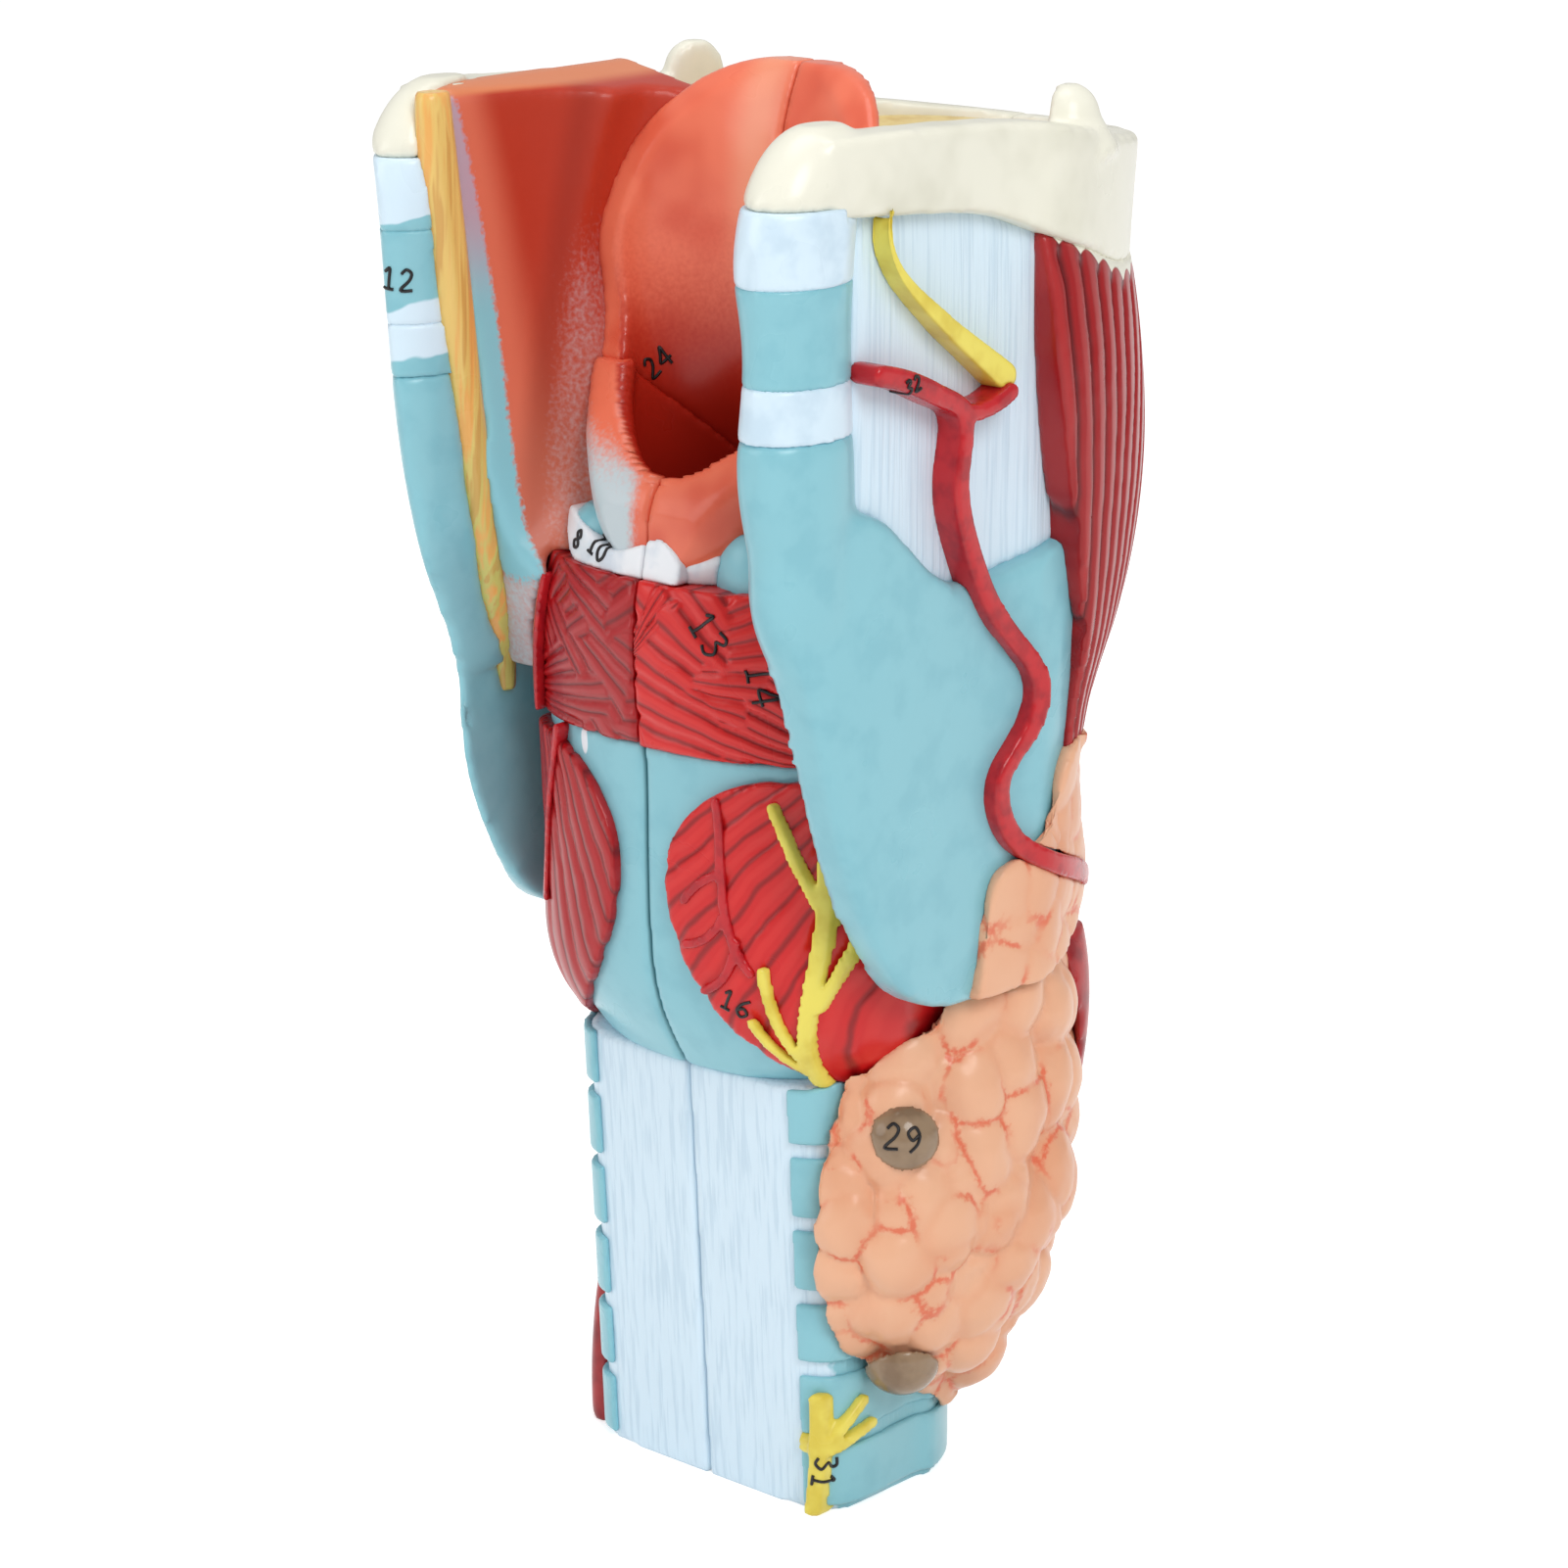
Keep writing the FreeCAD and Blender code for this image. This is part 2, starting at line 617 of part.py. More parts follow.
def gland_room():
    """Space below the lift-off wall, kept clear of its lower edge."""
    edge = lamina_low_edge[:-1] + [gland_room_corner]
    high = [side_point(*point) - FreeCAD.Vector(0, 0, wall_gap) for point in edge]
    low = [side_point(-1.10, 0.0), side_point(edge[-1][0], 0.0)]
    edges = [smooth_edge(low), smooth_edge([low[-1], high[-1]]), smooth_edge(high[::-1]),
             smooth_edge([high[0], low[0]])]
    return Part.Face(Part.Wire(edges)).extrude(FreeCAD.Vector(reach, 0.0, 0.0))


def gland(around):
    back_of_windpipe = slab(0.0, 1.2, low_y=0.0, high_x=gland_inner_x)
    body = gland_form(0.0).common(gland_room()).cut(windpipe(ring_relief)).cut(core_pad_skin)
    body = body.cut(back_of_windpipe)
    for neighbour in around:
        body = body.cut(neighbour)
    return body


# How far the pole on the wall stops above the wall's lower edge, in storeys
gland_patch_foot_share = 0.012


def gland_patch(around):
    """Upper pole of the gland, moulded on the wall that lifts off."""
    outline = [(0.12, 1.20), (0.08, 1.45), (0.03, 1.64), (-0.08, 1.70), (-0.15, 1.80), (-0.23, 1.95),
               (-0.36, 1.99), (-0.50, 1.88), (-0.62, 1.70), (-0.72, 1.40), (-0.60, 1.16), (-0.20, 1.14)]
    skin = wall(wall_gap + lamina_thickness + gland_patch_relief)
    patch = skin.common(side_patch(outline)).cut(wall_face)
    foot = [(place, level + gland_patch_foot_share) for place, level in lamina_low_edge[:-1]]
    patch = patch.common(side_zone(foot, [(-1.10, 2.2), (0.42, 2.2)]))
    for neighbour in around:
        patch = patch.cut(neighbour)
    return patch


def small_gland(level, around_angle):
    row = min(gland_shares, key=lambda share_row: abs(share_row[0] - level))
    angle = math.radians(around_angle)
    across = gland_half_width * row[3] - small_gland_sink
    deep = gland_half_depth * row[4] - small_gland_sink
    middle = FreeCAD.Vector(row[1] * gland_half_width + across * math.cos(angle),
                            row[2] * gland_half_depth + deep * math.sin(angle), height(row[0]))
    return Part.makeSphere(small_gland_radius, middle)


def cord_on(blocks, skin_out, around):
    """Raised cord: its blocks, cut to a skin and from what lies under it."""
    cord = join(blocks).common(skin_out)
    for neighbour in around:
        cord = cord.cut(neighbour)
    return cord


def build_half():
    """Every piece that both halves share, made on the +X side."""
    pieces = {}
    pieces["windpipe_wall"] = windpipe_wall()
    ring_zone = side_zone([(-1.10, 0.0), (1.10, 0.0)], cricoid_foot)
    pieces["cricoid_cartilage"] = cricoid()
    pieces["cricothyroid_muscle"] = ring_muscle()
    pieces["posterior_cricoid_muscle"] = cricoid_muscle()
    rings = windpipe_rings(ring_zone).cut(core_skin).cut(pieces["cricothyroid_muscle"])
    pieces["windpipe_rings"] = rings.cut(pieces["posterior_cricoid_muscle"])
    pieces["vocal_muscle"] = vocal_muscle(list(pieces.values()))
    pieces["arytenoid_cartilage"] = arytenoid()
    pieces["interarytenoid_muscle"] = posterior_muscle(pieces["arytenoid_cartilage"])
    pieces["corniculate_cartilage"] = corniculate(pieces["arytenoid_cartilage"], left_crescent)
    pieces["airway_lining"] = lining()
    pieces["vocal_fold"] = slit_fold(1.42, 1.63, 1.66, vocal_slit)
    pieces["vestibular_fold"] = slit_fold(1.78, 1.86, 2.00, vestibular_slit)
    tube = rimmed_tube()
    pieces["epiglottis"] = epiglottis(tube)
    pieces["inlet_fold"] = inlet_fold(tube)
    pieces["epiglottic_fat"] = fat_body()
    return pieces


def build_wall():
    """Thyroid wall and hyoid of one side."""
    pieces = {}
    pieces["thyroid_lamina"] = lamina()
    pieces["hyoid_bone"] = hyoid()
    pieces["triticeate_cartilage"] = column(bead_low, bead_high)
    ligament = [column(horn_top, bead_low), column(bead_high, hyoid_end_low)]
    ligament[1] = ligament[1].cut(pieces["hyoid_bone"])
    pieces["thyrohyoid_ligament"] = Part.makeCompound(ligament)
    solid = list(pieces.values())
    pieces["thyrohyoid_membrane"] = hyoid_membrane(solid)
    solid.append(pieces["thyrohyoid_membrane"])
    pieces["thyrohyoid_muscle"] = strap_muscle(solid)
    return pieces


def export(side, name, shape):
    if side == "right":
        shape = shape.mirror(FreeCAD.Vector(0, 0, 0), FreeCAD.Vector(1, 0, 0))
    shape = keep_large(shape)
    node = side + "_" + name
    shape.exportStep("parts/" + node + ".step")
    print(node, len(shape.Solids), round(shape.Volume), shape.isValid())


def pin_along(y, z, low_x, high_x, radius):
    return Part.makeCylinder(radius, high_x - low_x, FreeCAD.Vector(low_x, y, z), FreeCAD.Vector(1, 0, 0))


half = build_half()
outer = build_wall()

# Places of the pins in the side view: share of the wall's reach and level
seam_pin_shares = [(0.469, 1.62), (-0.465, 3.20)]
wall_pin_shares = [(-0.287, 3.45), (-0.186, 1.80)]
seam_pins = [(share * wall_back, height(level)) for share, level in seam_pin_shares]
wall_pins = [(share * wall_back, height(level)) for share, level in wall_pin_shares]
pin_half = seam_pin_length / 2.0

# Left half: its pieces have sockets for the seam pins
left = dict(half)
for y, z in seam_pins:
    socket = pin_along(y, z, -pin_half, pin_half + pin_gap, seam_pin_radius + pin_gap)
    for name in ("cricoid_cartilage", "epiglottic_fat"):
        left[name] = left[name].cut(socket)

# Right half: its pieces hold the seam pins and have sockets for the wall's pins
right = dict(half)
right["corniculate_cartilage"] = corniculate(right["arytenoid_cartilage"], right_crescent)
for y, z in seam_pins:
    held = pin_along(y, z, -pin_half, pin_half, seam_pin_radius)
    for name in ("cricoid_cartilage", "epiglottic_fat"):
        right[name] = right[name].cut(held)
wall_pin_inner = wall_half_width - wall_pin_length
for y, z in wall_pins:
    socket = pin_along(y, z, wall_pin_inner - pin_gap, reach, wall_pin_radius + pin_gap)
    for name in ("vocal_muscle", "epiglottic_fat"):
        right[name] = right[name].cut(socket)

pins = [pin_along(y, z, -pin_half, pin_half, seam_pin_radius) for y, z in seam_pins]
wall_pin_solids = []
for y, z in wall_pins:
    pin = pin_along(y, z, wall_pin_inner, wall_half_width + overrun, wall_pin_radius)
    wall_pin_solids.append(pin.common(wall_face))

# Left half only: mucous lining of the pharynx and the cut tissue of its wall
throat_space_shares = [
    (2.72, 0.78, 0.62), (2.96, 0.80, 0.44), (3.20, 0.82, 0.28), (3.44, 0.82, 0.20),
    (3.68, 0.82, 0.16), (3.92, 0.82, 0.14), (4.16, 0.82, 0.14)]
throat_space_square_share = 2.6


def throat_space():
    """Open space behind the inlet and beside it, with a soft cove towards the left wing."""
    wires = []
    for level, side, bottom in throat_space_shares:
        half_wide = (side * wall_half_width + overrun) / 2.0
        low = bottom * wall_back
        half_deep = (reach - low) / 2.0
        wires.append(egg(height(level), half_wide - overrun, low + half_deep, half_wide,
                         half_deep, half_deep, throat_space_square_share, throat_space_square_share))
    return loft(wires)


space = throat_space()

# Sections of the cut strip on the horn's inner face: level, across, behind and size
strip_half_width = 2.2
strip_half_depth = 2.8
strip_shares = [
    (2.00, 0.980, 0.414, 0.50), (2.50, 0.930, 0.478, 0.90), (3.00, 0.856, 0.564, 1.00),
    (3.16, 0.841, 0.610, 1.00), (3.32, 0.831, 0.650, 1.00), (3.48, 0.826, 0.680, 1.05),
    (3.64, 0.826, 0.707, 1.10), (3.80, 0.826, 0.733, 1.10), (3.96, 0.846, 0.738, 0.95)]


def behind(edge):
    points = [side_point(*point) for point in edge]
    far_low = FreeCAD.Vector(median, reach, points[0].z)
    far_high = FreeCAD.Vector(median, reach, points[-1].z)
    edges = [smooth_edge(points), smooth_edge([points[-1], far_high]),
             smooth_edge([far_high, far_low]), smooth_edge([far_low, points[0]])]
    return Part.Face(Part.Wire(edges)).extrude(FreeCAD.Vector(reach, 0.0, 0.0))


gutter_foot, gutter_front_share = 2.20, -0.04


def wing_top():
    """Block whose top falls from the wing's rim to the epiglottis, in the back view."""
    foot_z = height(gutter_foot)
    corners = [FreeCAD.Vector(median, 0.0, foot_z), FreeCAD.Vector(reach, 0.0, foot_z),
               FreeCAD.Vector(reach, 0.0, height(3.965)), back_point(1.0, 3.965),
               back_point(0.55, 3.92), FreeCAD.Vector(median, 0.0, height(3.90))]
    edges = [smooth_edge([corners[place - 1], corners[place]]) for place in range(len(corners))]
    block = Part.Face(Part.Wire(edges)).extrude(FreeCAD.Vector(0.0, reach, 0.0))
    block.translate(FreeCAD.Vector(0.0, gutter_front_share * wall_back, 0.0))
    return block


def pharynx_mucosa(around):
    """Lining from the inlet to the strip, filling the gutter beside the voice box below."""
    body = wall_face.common(wing_top()).cut(space).cut(lined_air)
    body = body.cut(behind([(middle, level) for level, across, middle, size in strip_shares]))
    for neighbour in around:
        body = body.cut(neighbour)
    return body


def tissue_strip():
    wires = []
    for level, across, middle, size in strip_shares:
        half_deep = strip_half_depth * size
        wires.append(egg(height(level), wall_half_width * across, wall_back * middle,
                         strip_half_width * size, half_deep, half_deep))
    return loft(wires)


left["cut_tissue_strip"] = tissue_strip()
left["pharynx_mucosa"] = pharynx_mucosa([
    left["epiglottic_fat"], left["arytenoid_cartilage"], left["corniculate_cartilage"],
    core_pad_skin.common(slab(2.0, 3.0)), left["cut_tissue_strip"]])


# Sections that round off the left wing: level, width and back in shares of the wall's inner face
left_wing_shares = [
    (1.00, 1.10, 0.60), (1.40, 1.10, 0.645), (1.80, 1.09, 0.80), (2.20, 1.08, 0.85), (2.60, 1.08, 0.905),
    (3.00, 1.12, 0.95), (3.40, 1.20, 1.01), (3.80, 1.24, 1.035), (4.20, 1.28, 1.05)]


def left_wing():
    return loft([egg(height(level), 0.0, widest_y, wall_half_width * width, wall_back * back,
                     reach, wall_back_square_share, wall_front_square_share)
                 for level, width, back in left_wing_shares])


wing_room = left_wing()
left_outer = dict(outer)
for name in ("thyroid_lamina", "hyoid_bone", "triticeate_cartilage", "thyrohyoid_ligament"):
    trimmed = outer[name].common(wing_room)
    left_outer[name] = trimmed.cut(left["cut_tissue_strip"]).cut(left["pharynx_mucosa"])


# Sections of the lower strap muscle on each side: level, middle across, middle deep, size
left_strap_shares = [(0.0, 1.08, 0.45, 0.62), (0.18, 1.08, 0.45, 0.62), (0.36, 1.06, 0.45, 0.50),
                     (0.52, 1.03, 0.45, 0.28)]
right_strap_shares = [(0.70, 1.16, -1.36, 0.45), (0.90, 1.22, -1.30, 0.70), (1.10, 1.24, -1.28, 0.75),
                      (1.28, 1.20, -1.34, 0.60)]
strap_half_depth = 10.5
strap_half_width = 5.7


def lower_strap(shares):
    """Strap muscle beside the windpipe, in shares of the windpipe's size."""
    wires = []
    for level, across, deep, size in shares:
        half_deep = strap_half_depth * size
        wires.append(egg(height(level), windpipe_half_width * across, windpipe_front * deep,
                         strap_half_width * size, half_deep, half_deep))
    return loft(wires)


left["sternothyroid_muscle"] = lower_strap(left_strap_shares).cut(windpipe(ring_relief))

strand = [back_band([(0.62, 2.86), (0.68, 2.45), (0.74, 2.02)], [vessel_width] * 3),
          back_band([(0.52, 1.98), (0.64, 1.70), (0.72, 1.40)], [vessel_width] * 3)]
vessel_skin = core(muscle_pad_thickness + vessel_relief)
left["laryngeal_vessel"] = cord_on(strand, vessel_skin,
                                   [left["posterior_cricoid_muscle"], left["interarytenoid_muscle"],
                                    left["pharynx_mucosa"], core_skin])

# Right half only: gland, small glands, nerves and vessels
right["quadrangular_membrane"] = quadrangular_membrane(
    right["arytenoid_cartilage"], right["corniculate_cartilage"]).cut(right["epiglottic_fat"])
right["thyroid_gland"] = gland([right["cricothyroid_muscle"], right["vocal_muscle"]])
upper_small = small_gland(0.88, 50.0)
lower_small = small_gland(0.35, 50.0)
windpipe_room = windpipe(ring_relief)
right["upper_small_gland"] = upper_small.cut(windpipe_room).cut(right["thyroid_gland"])
right["lower_small_gland"] = lower_small.cut(windpipe_room).cut(right["thyroid_gland"])

nerve_routes = [
    [(0.70, 0.99), (0.72, 1.08), (0.76, 1.20), (0.80, 1.34), (0.83, 1.50), (0.845, 1.72)],
    [(0.67, 1.886), (0.74, 1.74), (0.82, 1.58)],
    [(0.93, 1.50), (0.88, 1.38), (0.81, 1.26)],
    [(0.62, 1.375), (0.65, 1.22), (0.70, 1.07)],
    [(0.55, 1.20), (0.62, 1.10), (0.69, 1.03)]]
nerve_blocks = []
for number, route in enumerate(nerve_routes):
    share = 1.0 if number == 0 else branch_share
    nerve_blocks.append(back_band(route, [recurrent_nerve_width * share] * len(route)))
nerve_skin = core(muscle_pad_thickness + recurrent_nerve_relief)
right["recurrent_nerve"] = cord_on(nerve_blocks, nerve_skin, [
    core_skin, right["posterior_cricoid_muscle"], right["thyroid_gland"], right["windpipe_wall"],
    right["windpipe_rings"]])

vessel_routes = [
    [(0.42, 1.88), (0.44, 1.70), (0.46, 1.52), (0.56, 1.36)],
    [(0.44, 1.66), (0.34, 1.62), (0.26, 1.56)],
    [(0.455, 1.54), (0.34, 1.44), (0.26, 1.42)],
    [(0.50, 1.45), (0.42, 1.32), (0.34, 1.28)]]
vessel_blocks = [back_band(route, [vessel_width] * len(route)) for route in vessel_routes]
right["laryngeal_vessel"] = cord_on(vessel_blocks, vessel_skin, [
    core_skin, right["posterior_cricoid_muscle"], right["recurrent_nerve"]])

low_nerve_trunk = [(0.675, 0.27), (0.67, 0.15), (0.64, 0.012)]
low_nerve_branches = [[(0.34, 0.165), (0.29, 0.21), (0.225, 0.255)],
                      [(0.34, 0.15), (0.27, 0.175), (0.19, 0.195)]]
low_nerve_blocks = [back_band(low_nerve_trunk, [lower_nerve_width] * len(low_nerve_trunk))]
windpipe_side = slab(0.0, 1.0, low_x=ring_wrap_x)
for route in low_nerve_branches:
    branch = side_band(route, [lower_nerve_width * branch_share] * len(route))
    low_nerve_blocks.append(branch.common(windpipe_side))
right["lower_nerve"] = cord_on(low_nerve_blocks, windpipe(ring_relief + recurrent_nerve_relief), [
    windpipe(0.0), right["windpipe_rings"], right["thyroid_gland"]])

right_strap = lower_strap(right_strap_shares).common(gland_room())
right_strap = right_strap.cut(gland_form(0.0)).cut(core_pad_skin)
for name in ("cricothyroid_muscle", "vocal_muscle"):
    right_strap = right_strap.cut(right[name])
right["sternothyroid_muscle"] = right_strap

# Lift-off wall on the right: lamina, hyoid, cords and the gland's upper pole
shell = dict(outer)
artery_routes = [
    [(0.56, 3.50), (0.45, 3.475), (0.32, 3.43), (0.235, 3.39), (0.24, 3.27), (0.195, 3.11), (0.06, 2.80),
     (-0.07, 2.38), (-0.03, 2.10), (0.05, 1.93), (0.03, 1.80), (-0.14, 1.64), (-0.42, 1.50)],
    [(0.235, 3.39), (0.14, 3.385), (0.05, 3.41)]]
artery_blocks = [side_band(artery_routes[0], [artery_width] * len(artery_routes[0])),
                 side_band(artery_routes[1], [artery_width * artery_branch_share] * len(artery_routes[1]))]
wall_solids = list(outer.values())
shell["thyroid_artery"] = cord_on(artery_blocks, wall(wall_gap + lamina_thickness + artery_relief),
                                  [wall_face] + wall_solids)
nerve_route = [(0.50, 3.81), (0.49, 3.72), (0.38, 3.625), (0.20, 3.52), (0.055, 3.44)]
shell["laryngeal_nerve"] = cord_on(
    [side_band(nerve_route, [throat_nerve_width * share for share in (0.6, 0.7, 0.8, 1.0, 1.3)])],
    wall(wall_gap + hyoid_thickness + throat_nerve_relief),
    [wall_face, shell["thyroid_artery"]] + wall_solids)
shell["gland_upper_pole"] = gland_patch([shell["thyroid_lamina"], shell["thyrohyoid_muscle"],
                                         shell["thyroid_artery"]])
for name in ("thyroid_lamina", "thyrohyoid_membrane", "thyrohyoid_muscle"):
    for pin in wall_pin_solids:
        shell[name] = shell[name].cut(pin)

for name, shape in left.items():
    export("left", name, shape)
for name, shape in left_outer.items():
    export("left", name, shape)
for name, shape in right.items():
    export("right", name, shape)
for name, shape in shell.items():
    export("right", name, shape)
export("right", "seam_pins", Part.makeCompound(pins))
export("right", "wall_pins", Part.makeCompound(wall_pin_solids))
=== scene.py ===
# %% [markdown]
# # An enlarged model of the human throat
# The real object is a teaching model, moulded in PVC at about twice life size
# and painted by hand. It comes apart into two halves and a side wall.
# The solids from the CAD step are the frame. Here each of them gets the soft
# moulded form and the paint of the real one, and nothing is moved.

# %% Load the solids
import json
import math

import bpy
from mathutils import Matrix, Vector
from mathutils.bvhtree import BVHTree


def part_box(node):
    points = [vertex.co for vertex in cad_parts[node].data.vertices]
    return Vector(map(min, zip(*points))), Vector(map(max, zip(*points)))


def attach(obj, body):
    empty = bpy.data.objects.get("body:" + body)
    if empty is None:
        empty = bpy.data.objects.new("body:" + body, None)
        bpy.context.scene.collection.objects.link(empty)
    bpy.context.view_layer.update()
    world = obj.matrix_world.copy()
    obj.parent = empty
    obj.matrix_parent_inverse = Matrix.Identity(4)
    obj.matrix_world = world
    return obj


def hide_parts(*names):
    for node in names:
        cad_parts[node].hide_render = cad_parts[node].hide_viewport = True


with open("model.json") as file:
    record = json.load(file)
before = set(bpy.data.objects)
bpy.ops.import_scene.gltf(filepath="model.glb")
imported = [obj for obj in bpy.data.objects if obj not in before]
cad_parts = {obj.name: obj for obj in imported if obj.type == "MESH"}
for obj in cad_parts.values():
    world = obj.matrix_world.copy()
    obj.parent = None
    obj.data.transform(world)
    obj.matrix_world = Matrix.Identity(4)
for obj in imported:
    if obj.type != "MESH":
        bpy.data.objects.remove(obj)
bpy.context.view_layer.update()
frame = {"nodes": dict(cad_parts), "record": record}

solids = frame["nodes"]
mm = 0.001

# %% [markdown]
# ## The camera first
# The photograph was taken with a long lens from the model's right and behind,
# a little above its middle. The camera stands 760 mm away and looks at the
# axis at half height.

# %% Camera
aim = Vector((0.6, 0.5, 111.0)) * mm
azimuth, elevation, distance = math.radians(222.0), math.radians(16.0), 760.0 * mm
backwards = Vector((math.sin(azimuth) * math.cos(elevation),
                    -math.cos(azimuth) * math.cos(elevation), math.sin(elevation)))
camera_data = bpy.data.cameras.new("camera")
camera_data.lens, camera_data.sensor_width = 111.1, 36.0
camera = bpy.data.objects.new("camera", camera_data)
bpy.context.scene.collection.objects.link(camera)
camera.location = aim + backwards * distance
camera.rotation_mode = "QUATERNION"
camera.rotation_quaternion = (-backwards).to_track_quat("-Z", "Y")
bpy.context.scene.camera = camera
print("camera at", [round(c, 3) for c in camera.location])

# %% [markdown]
# ## Node maths as sums
# Both the paints and the reliefs are formulas of the place on the model. A
# Field wraps one socket, so that a formula can be written as a sum, and a
# Sheet adds any other node. The same formula can then shape a muscle's
# fibres in Geometry Nodes and darken its grooves in the paint as painted shade.


# %% Field and Sheet
class Field:
    """One socket of a node tree."""

    def __init__(self, sheet, socket):
        self.sheet, self.socket = sheet, socket

    def maths(self, operation, *values):
        sockets = dict(enumerate(values))
        return self.sheet.add("ShaderNodeMath", {"operation": operation}, sockets)

    def __add__(self, other):
        return self.maths("ADD", self, other)

    def __radd__(self, other):
        return self.maths("ADD", other, self)

    def __sub__(self, other):
        return self.maths("SUBTRACT", self, other)

    def __rsub__(self, other):
        return self.maths("SUBTRACT", other, self)

    def __mul__(self, other):
        return self.maths("MULTIPLY", self, other)

    def __rmul__(self, other):
        return self.maths("MULTIPLY", other, self)

    def __truediv__(self, other):
        return self.maths("DIVIDE", self, other)

    def __abs__(self):
        return self.maths("ABSOLUTE", self)

    def sine(self):
        return self.maths("SINE", self)

    def angle_to(self, other):
        return self.maths("ARCTAN2", self, other)

    def larger(self, other):
        return self.maths("MAXIMUM", self, other)

    def rise(self, low, high):
        """0 below low and 1 above high, with a soft step between."""
        return self.sheet.add("ShaderNodeMapRange", {"interpolation_type": "SMOOTHSTEP"},
                              {"Value": self, "From Min": low, "From Max": high})

    def band(self, low, high, soft):
        return self.rise(low - soft, low + soft) * (1 - self.rise(high - soft, high + soft))


class Sheet:
    """A node tree that takes nodes one call at a time."""

    def __init__(self, tree):
        self.tree = tree

    def add(self, kind, settings=None, sockets=None, out=0):
        node = self.tree.nodes.new(kind)
        for name, value in (settings or {}).items():
            setattr(node, name, value)
        for name, value in (sockets or {}).items():
            if isinstance(value, Field):
                self.tree.links.new(value.socket, node.inputs[name])
            else:
                node.inputs[name].default_value = value
        return Field(self, node.outputs[out])

    def axes(self, place):
        return [self.add("ShaderNodeSeparateXYZ", None, {0: place}, out) for out in range(3)]

    def stretched(self, place, x, y, z):
        return self.add("ShaderNodeVectorMath", {"operation": "MULTIPLY"}, {0: place, 1: (x, y, z)})

    def noise(self, place, size, detail=2.0):
        """Soft noise between 0 and 1 whose lumps are about size millimetres."""
        return self.add("ShaderNodeTexNoise", None,
                        {"Vector": place, "Scale": 1.0 / (size * mm), "Detail": detail})

    def cells(self, place, size, feature="DISTANCE_TO_EDGE"):
        return self.add("ShaderNodeTexVoronoi", {"feature": feature},
                        {"Vector": place, "Scale": 1.0 / (size * mm)})

    def mix(self, share, under, over):
        """Colour that goes from under to over as share goes from 0 to 1."""
        return self.add("ShaderNodeMix", {"data_type": "RGBA"}, {0: share, 6: under, 7: over}, out=2)


print("field and sheet ready")

# %% [markdown]
# ## Painted PVC
# Every surface is soft PVC under brushed lacquer. The paint has its own slow
# changes of tone, thin brush marks and a slightly uneven gloss. Each finish
# below gives only its colour and, where it has one, its fine relief.


# %% The lacquer that all finishes share
cloud_size, peel_size = 14.0, 2.6
peel_depth = 0.035 * mm
tone_change, gloss_change = 0.2, 0.18
least_coat, coat_change, coat_rough = 0.06, 0.14, 0.16
shine = 0.32


def dye(red, green, blue):
    """A colour as it is read off a print, turned to the shader's linear scale."""
    parts = []
    for value in (red, green, blue):
        share = value / 255.0
        parts.append(share / 12.92 if share < 0.04045 else ((share + 0.055) / 1.055) ** 2.4)
    return (*parts, 1.0)


def lacquer(name, finish, rough=0.30):
    """A material whose finish function gives its colour and relief in metres."""
    material = bpy.data.materials.new(name)
    material.use_nodes = True
    tree = material.node_tree
    tree.nodes.clear()
    sheet = Sheet(tree)
    place = sheet.add("ShaderNodeTexCoord", out="Object")
    colour, relief = finish(sheet, place)
    cloud = sheet.noise(place, cloud_size, 3.0)
    darker = sheet.mix(0.82, (0, 0, 0, 1), colour)
    colour = sheet.mix((cloud - 0.5) * tone_change + 0.05, colour, darker)
    peel = sheet.noise(place, peel_size) * peel_depth
    relief = peel if relief is None else relief + peel
    normal = sheet.add("ShaderNodeBump", None, {"Strength": 1.0, "Distance": 1.0, "Height": relief})
    shader = tree.nodes.new("ShaderNodeBsdfPrincipled")
    shader.inputs["Coat Roughness"].default_value = coat_rough
    shader.inputs["Specular IOR Level"].default_value = shine
    for socket, value in (("Base Color", colour), ("Roughness", rough + (cloud - 0.5) * gloss_change),
                          ("Coat Weight", least_coat + cloud * coat_change), ("Normal", normal)):
        tree.links.new(value.socket, shader.inputs[socket])
    output = tree.nodes.new("ShaderNodeOutputMaterial")
    tree.links.new(shader.outputs[0], output.inputs[0])
    return material


def plain(colour, shade, size=6.0):
    """A finish of one colour that drifts towards a second shade."""
    def finish(sheet, place):
        return sheet.mix(sheet.noise(place, size, 3.0).rise(0.42, 0.68), colour, shade), None
    return finish


print("lacquer ready")

# %% [markdown]
# ## Muscle fibres
# The sculptor cut fibres that fan out from where the muscle starts. In the
# plane of the muscle a fan is the angle round a focus, so the sine of many
# times that angle is a row of ridges, and some noise makes them unequal.


# %% Fans of fibres
fibre_relief = 0.22 * mm
straying = 9.0
patch_of_fibres = 12.0


def fan(sheet, place, across, focus, count, wobble=1.6):
    """Ridges between 0 and 1 that spread from a focus, given as across and up in mm."""
    axes = sheet.axes(place)
    side = axes["xyz".index(across)] - focus[0] * mm
    up = axes[2] - focus[1] * mm
    angle = side.angle_to(up) * count + sheet.noise(place, straying) * wobble
    return abs(angle.sine())


def posterior_right_fibres(sheet, place, finer=1.0):
    return fan(sheet, place, "x", (-58.0, 150.0), 26.0 * finer)


def posterior_left_fibres(sheet, place, finer=1.0):
    return fan(sheet, place, "x", (30.0, 148.0), 26.0 * finer)


def crossing_right_fibres(sheet, place, finer=1.0):
    first = fan(sheet, place, "x", (2.0, 137.0), 15.0 * finer)
    second = fan(sheet, place, "x", (-44.0, 120.0), 20.0 * finer)
    over = sheet.noise(place, patch_of_fibres).rise(0.44, 0.50)
    return first * (1 - over) + second * over


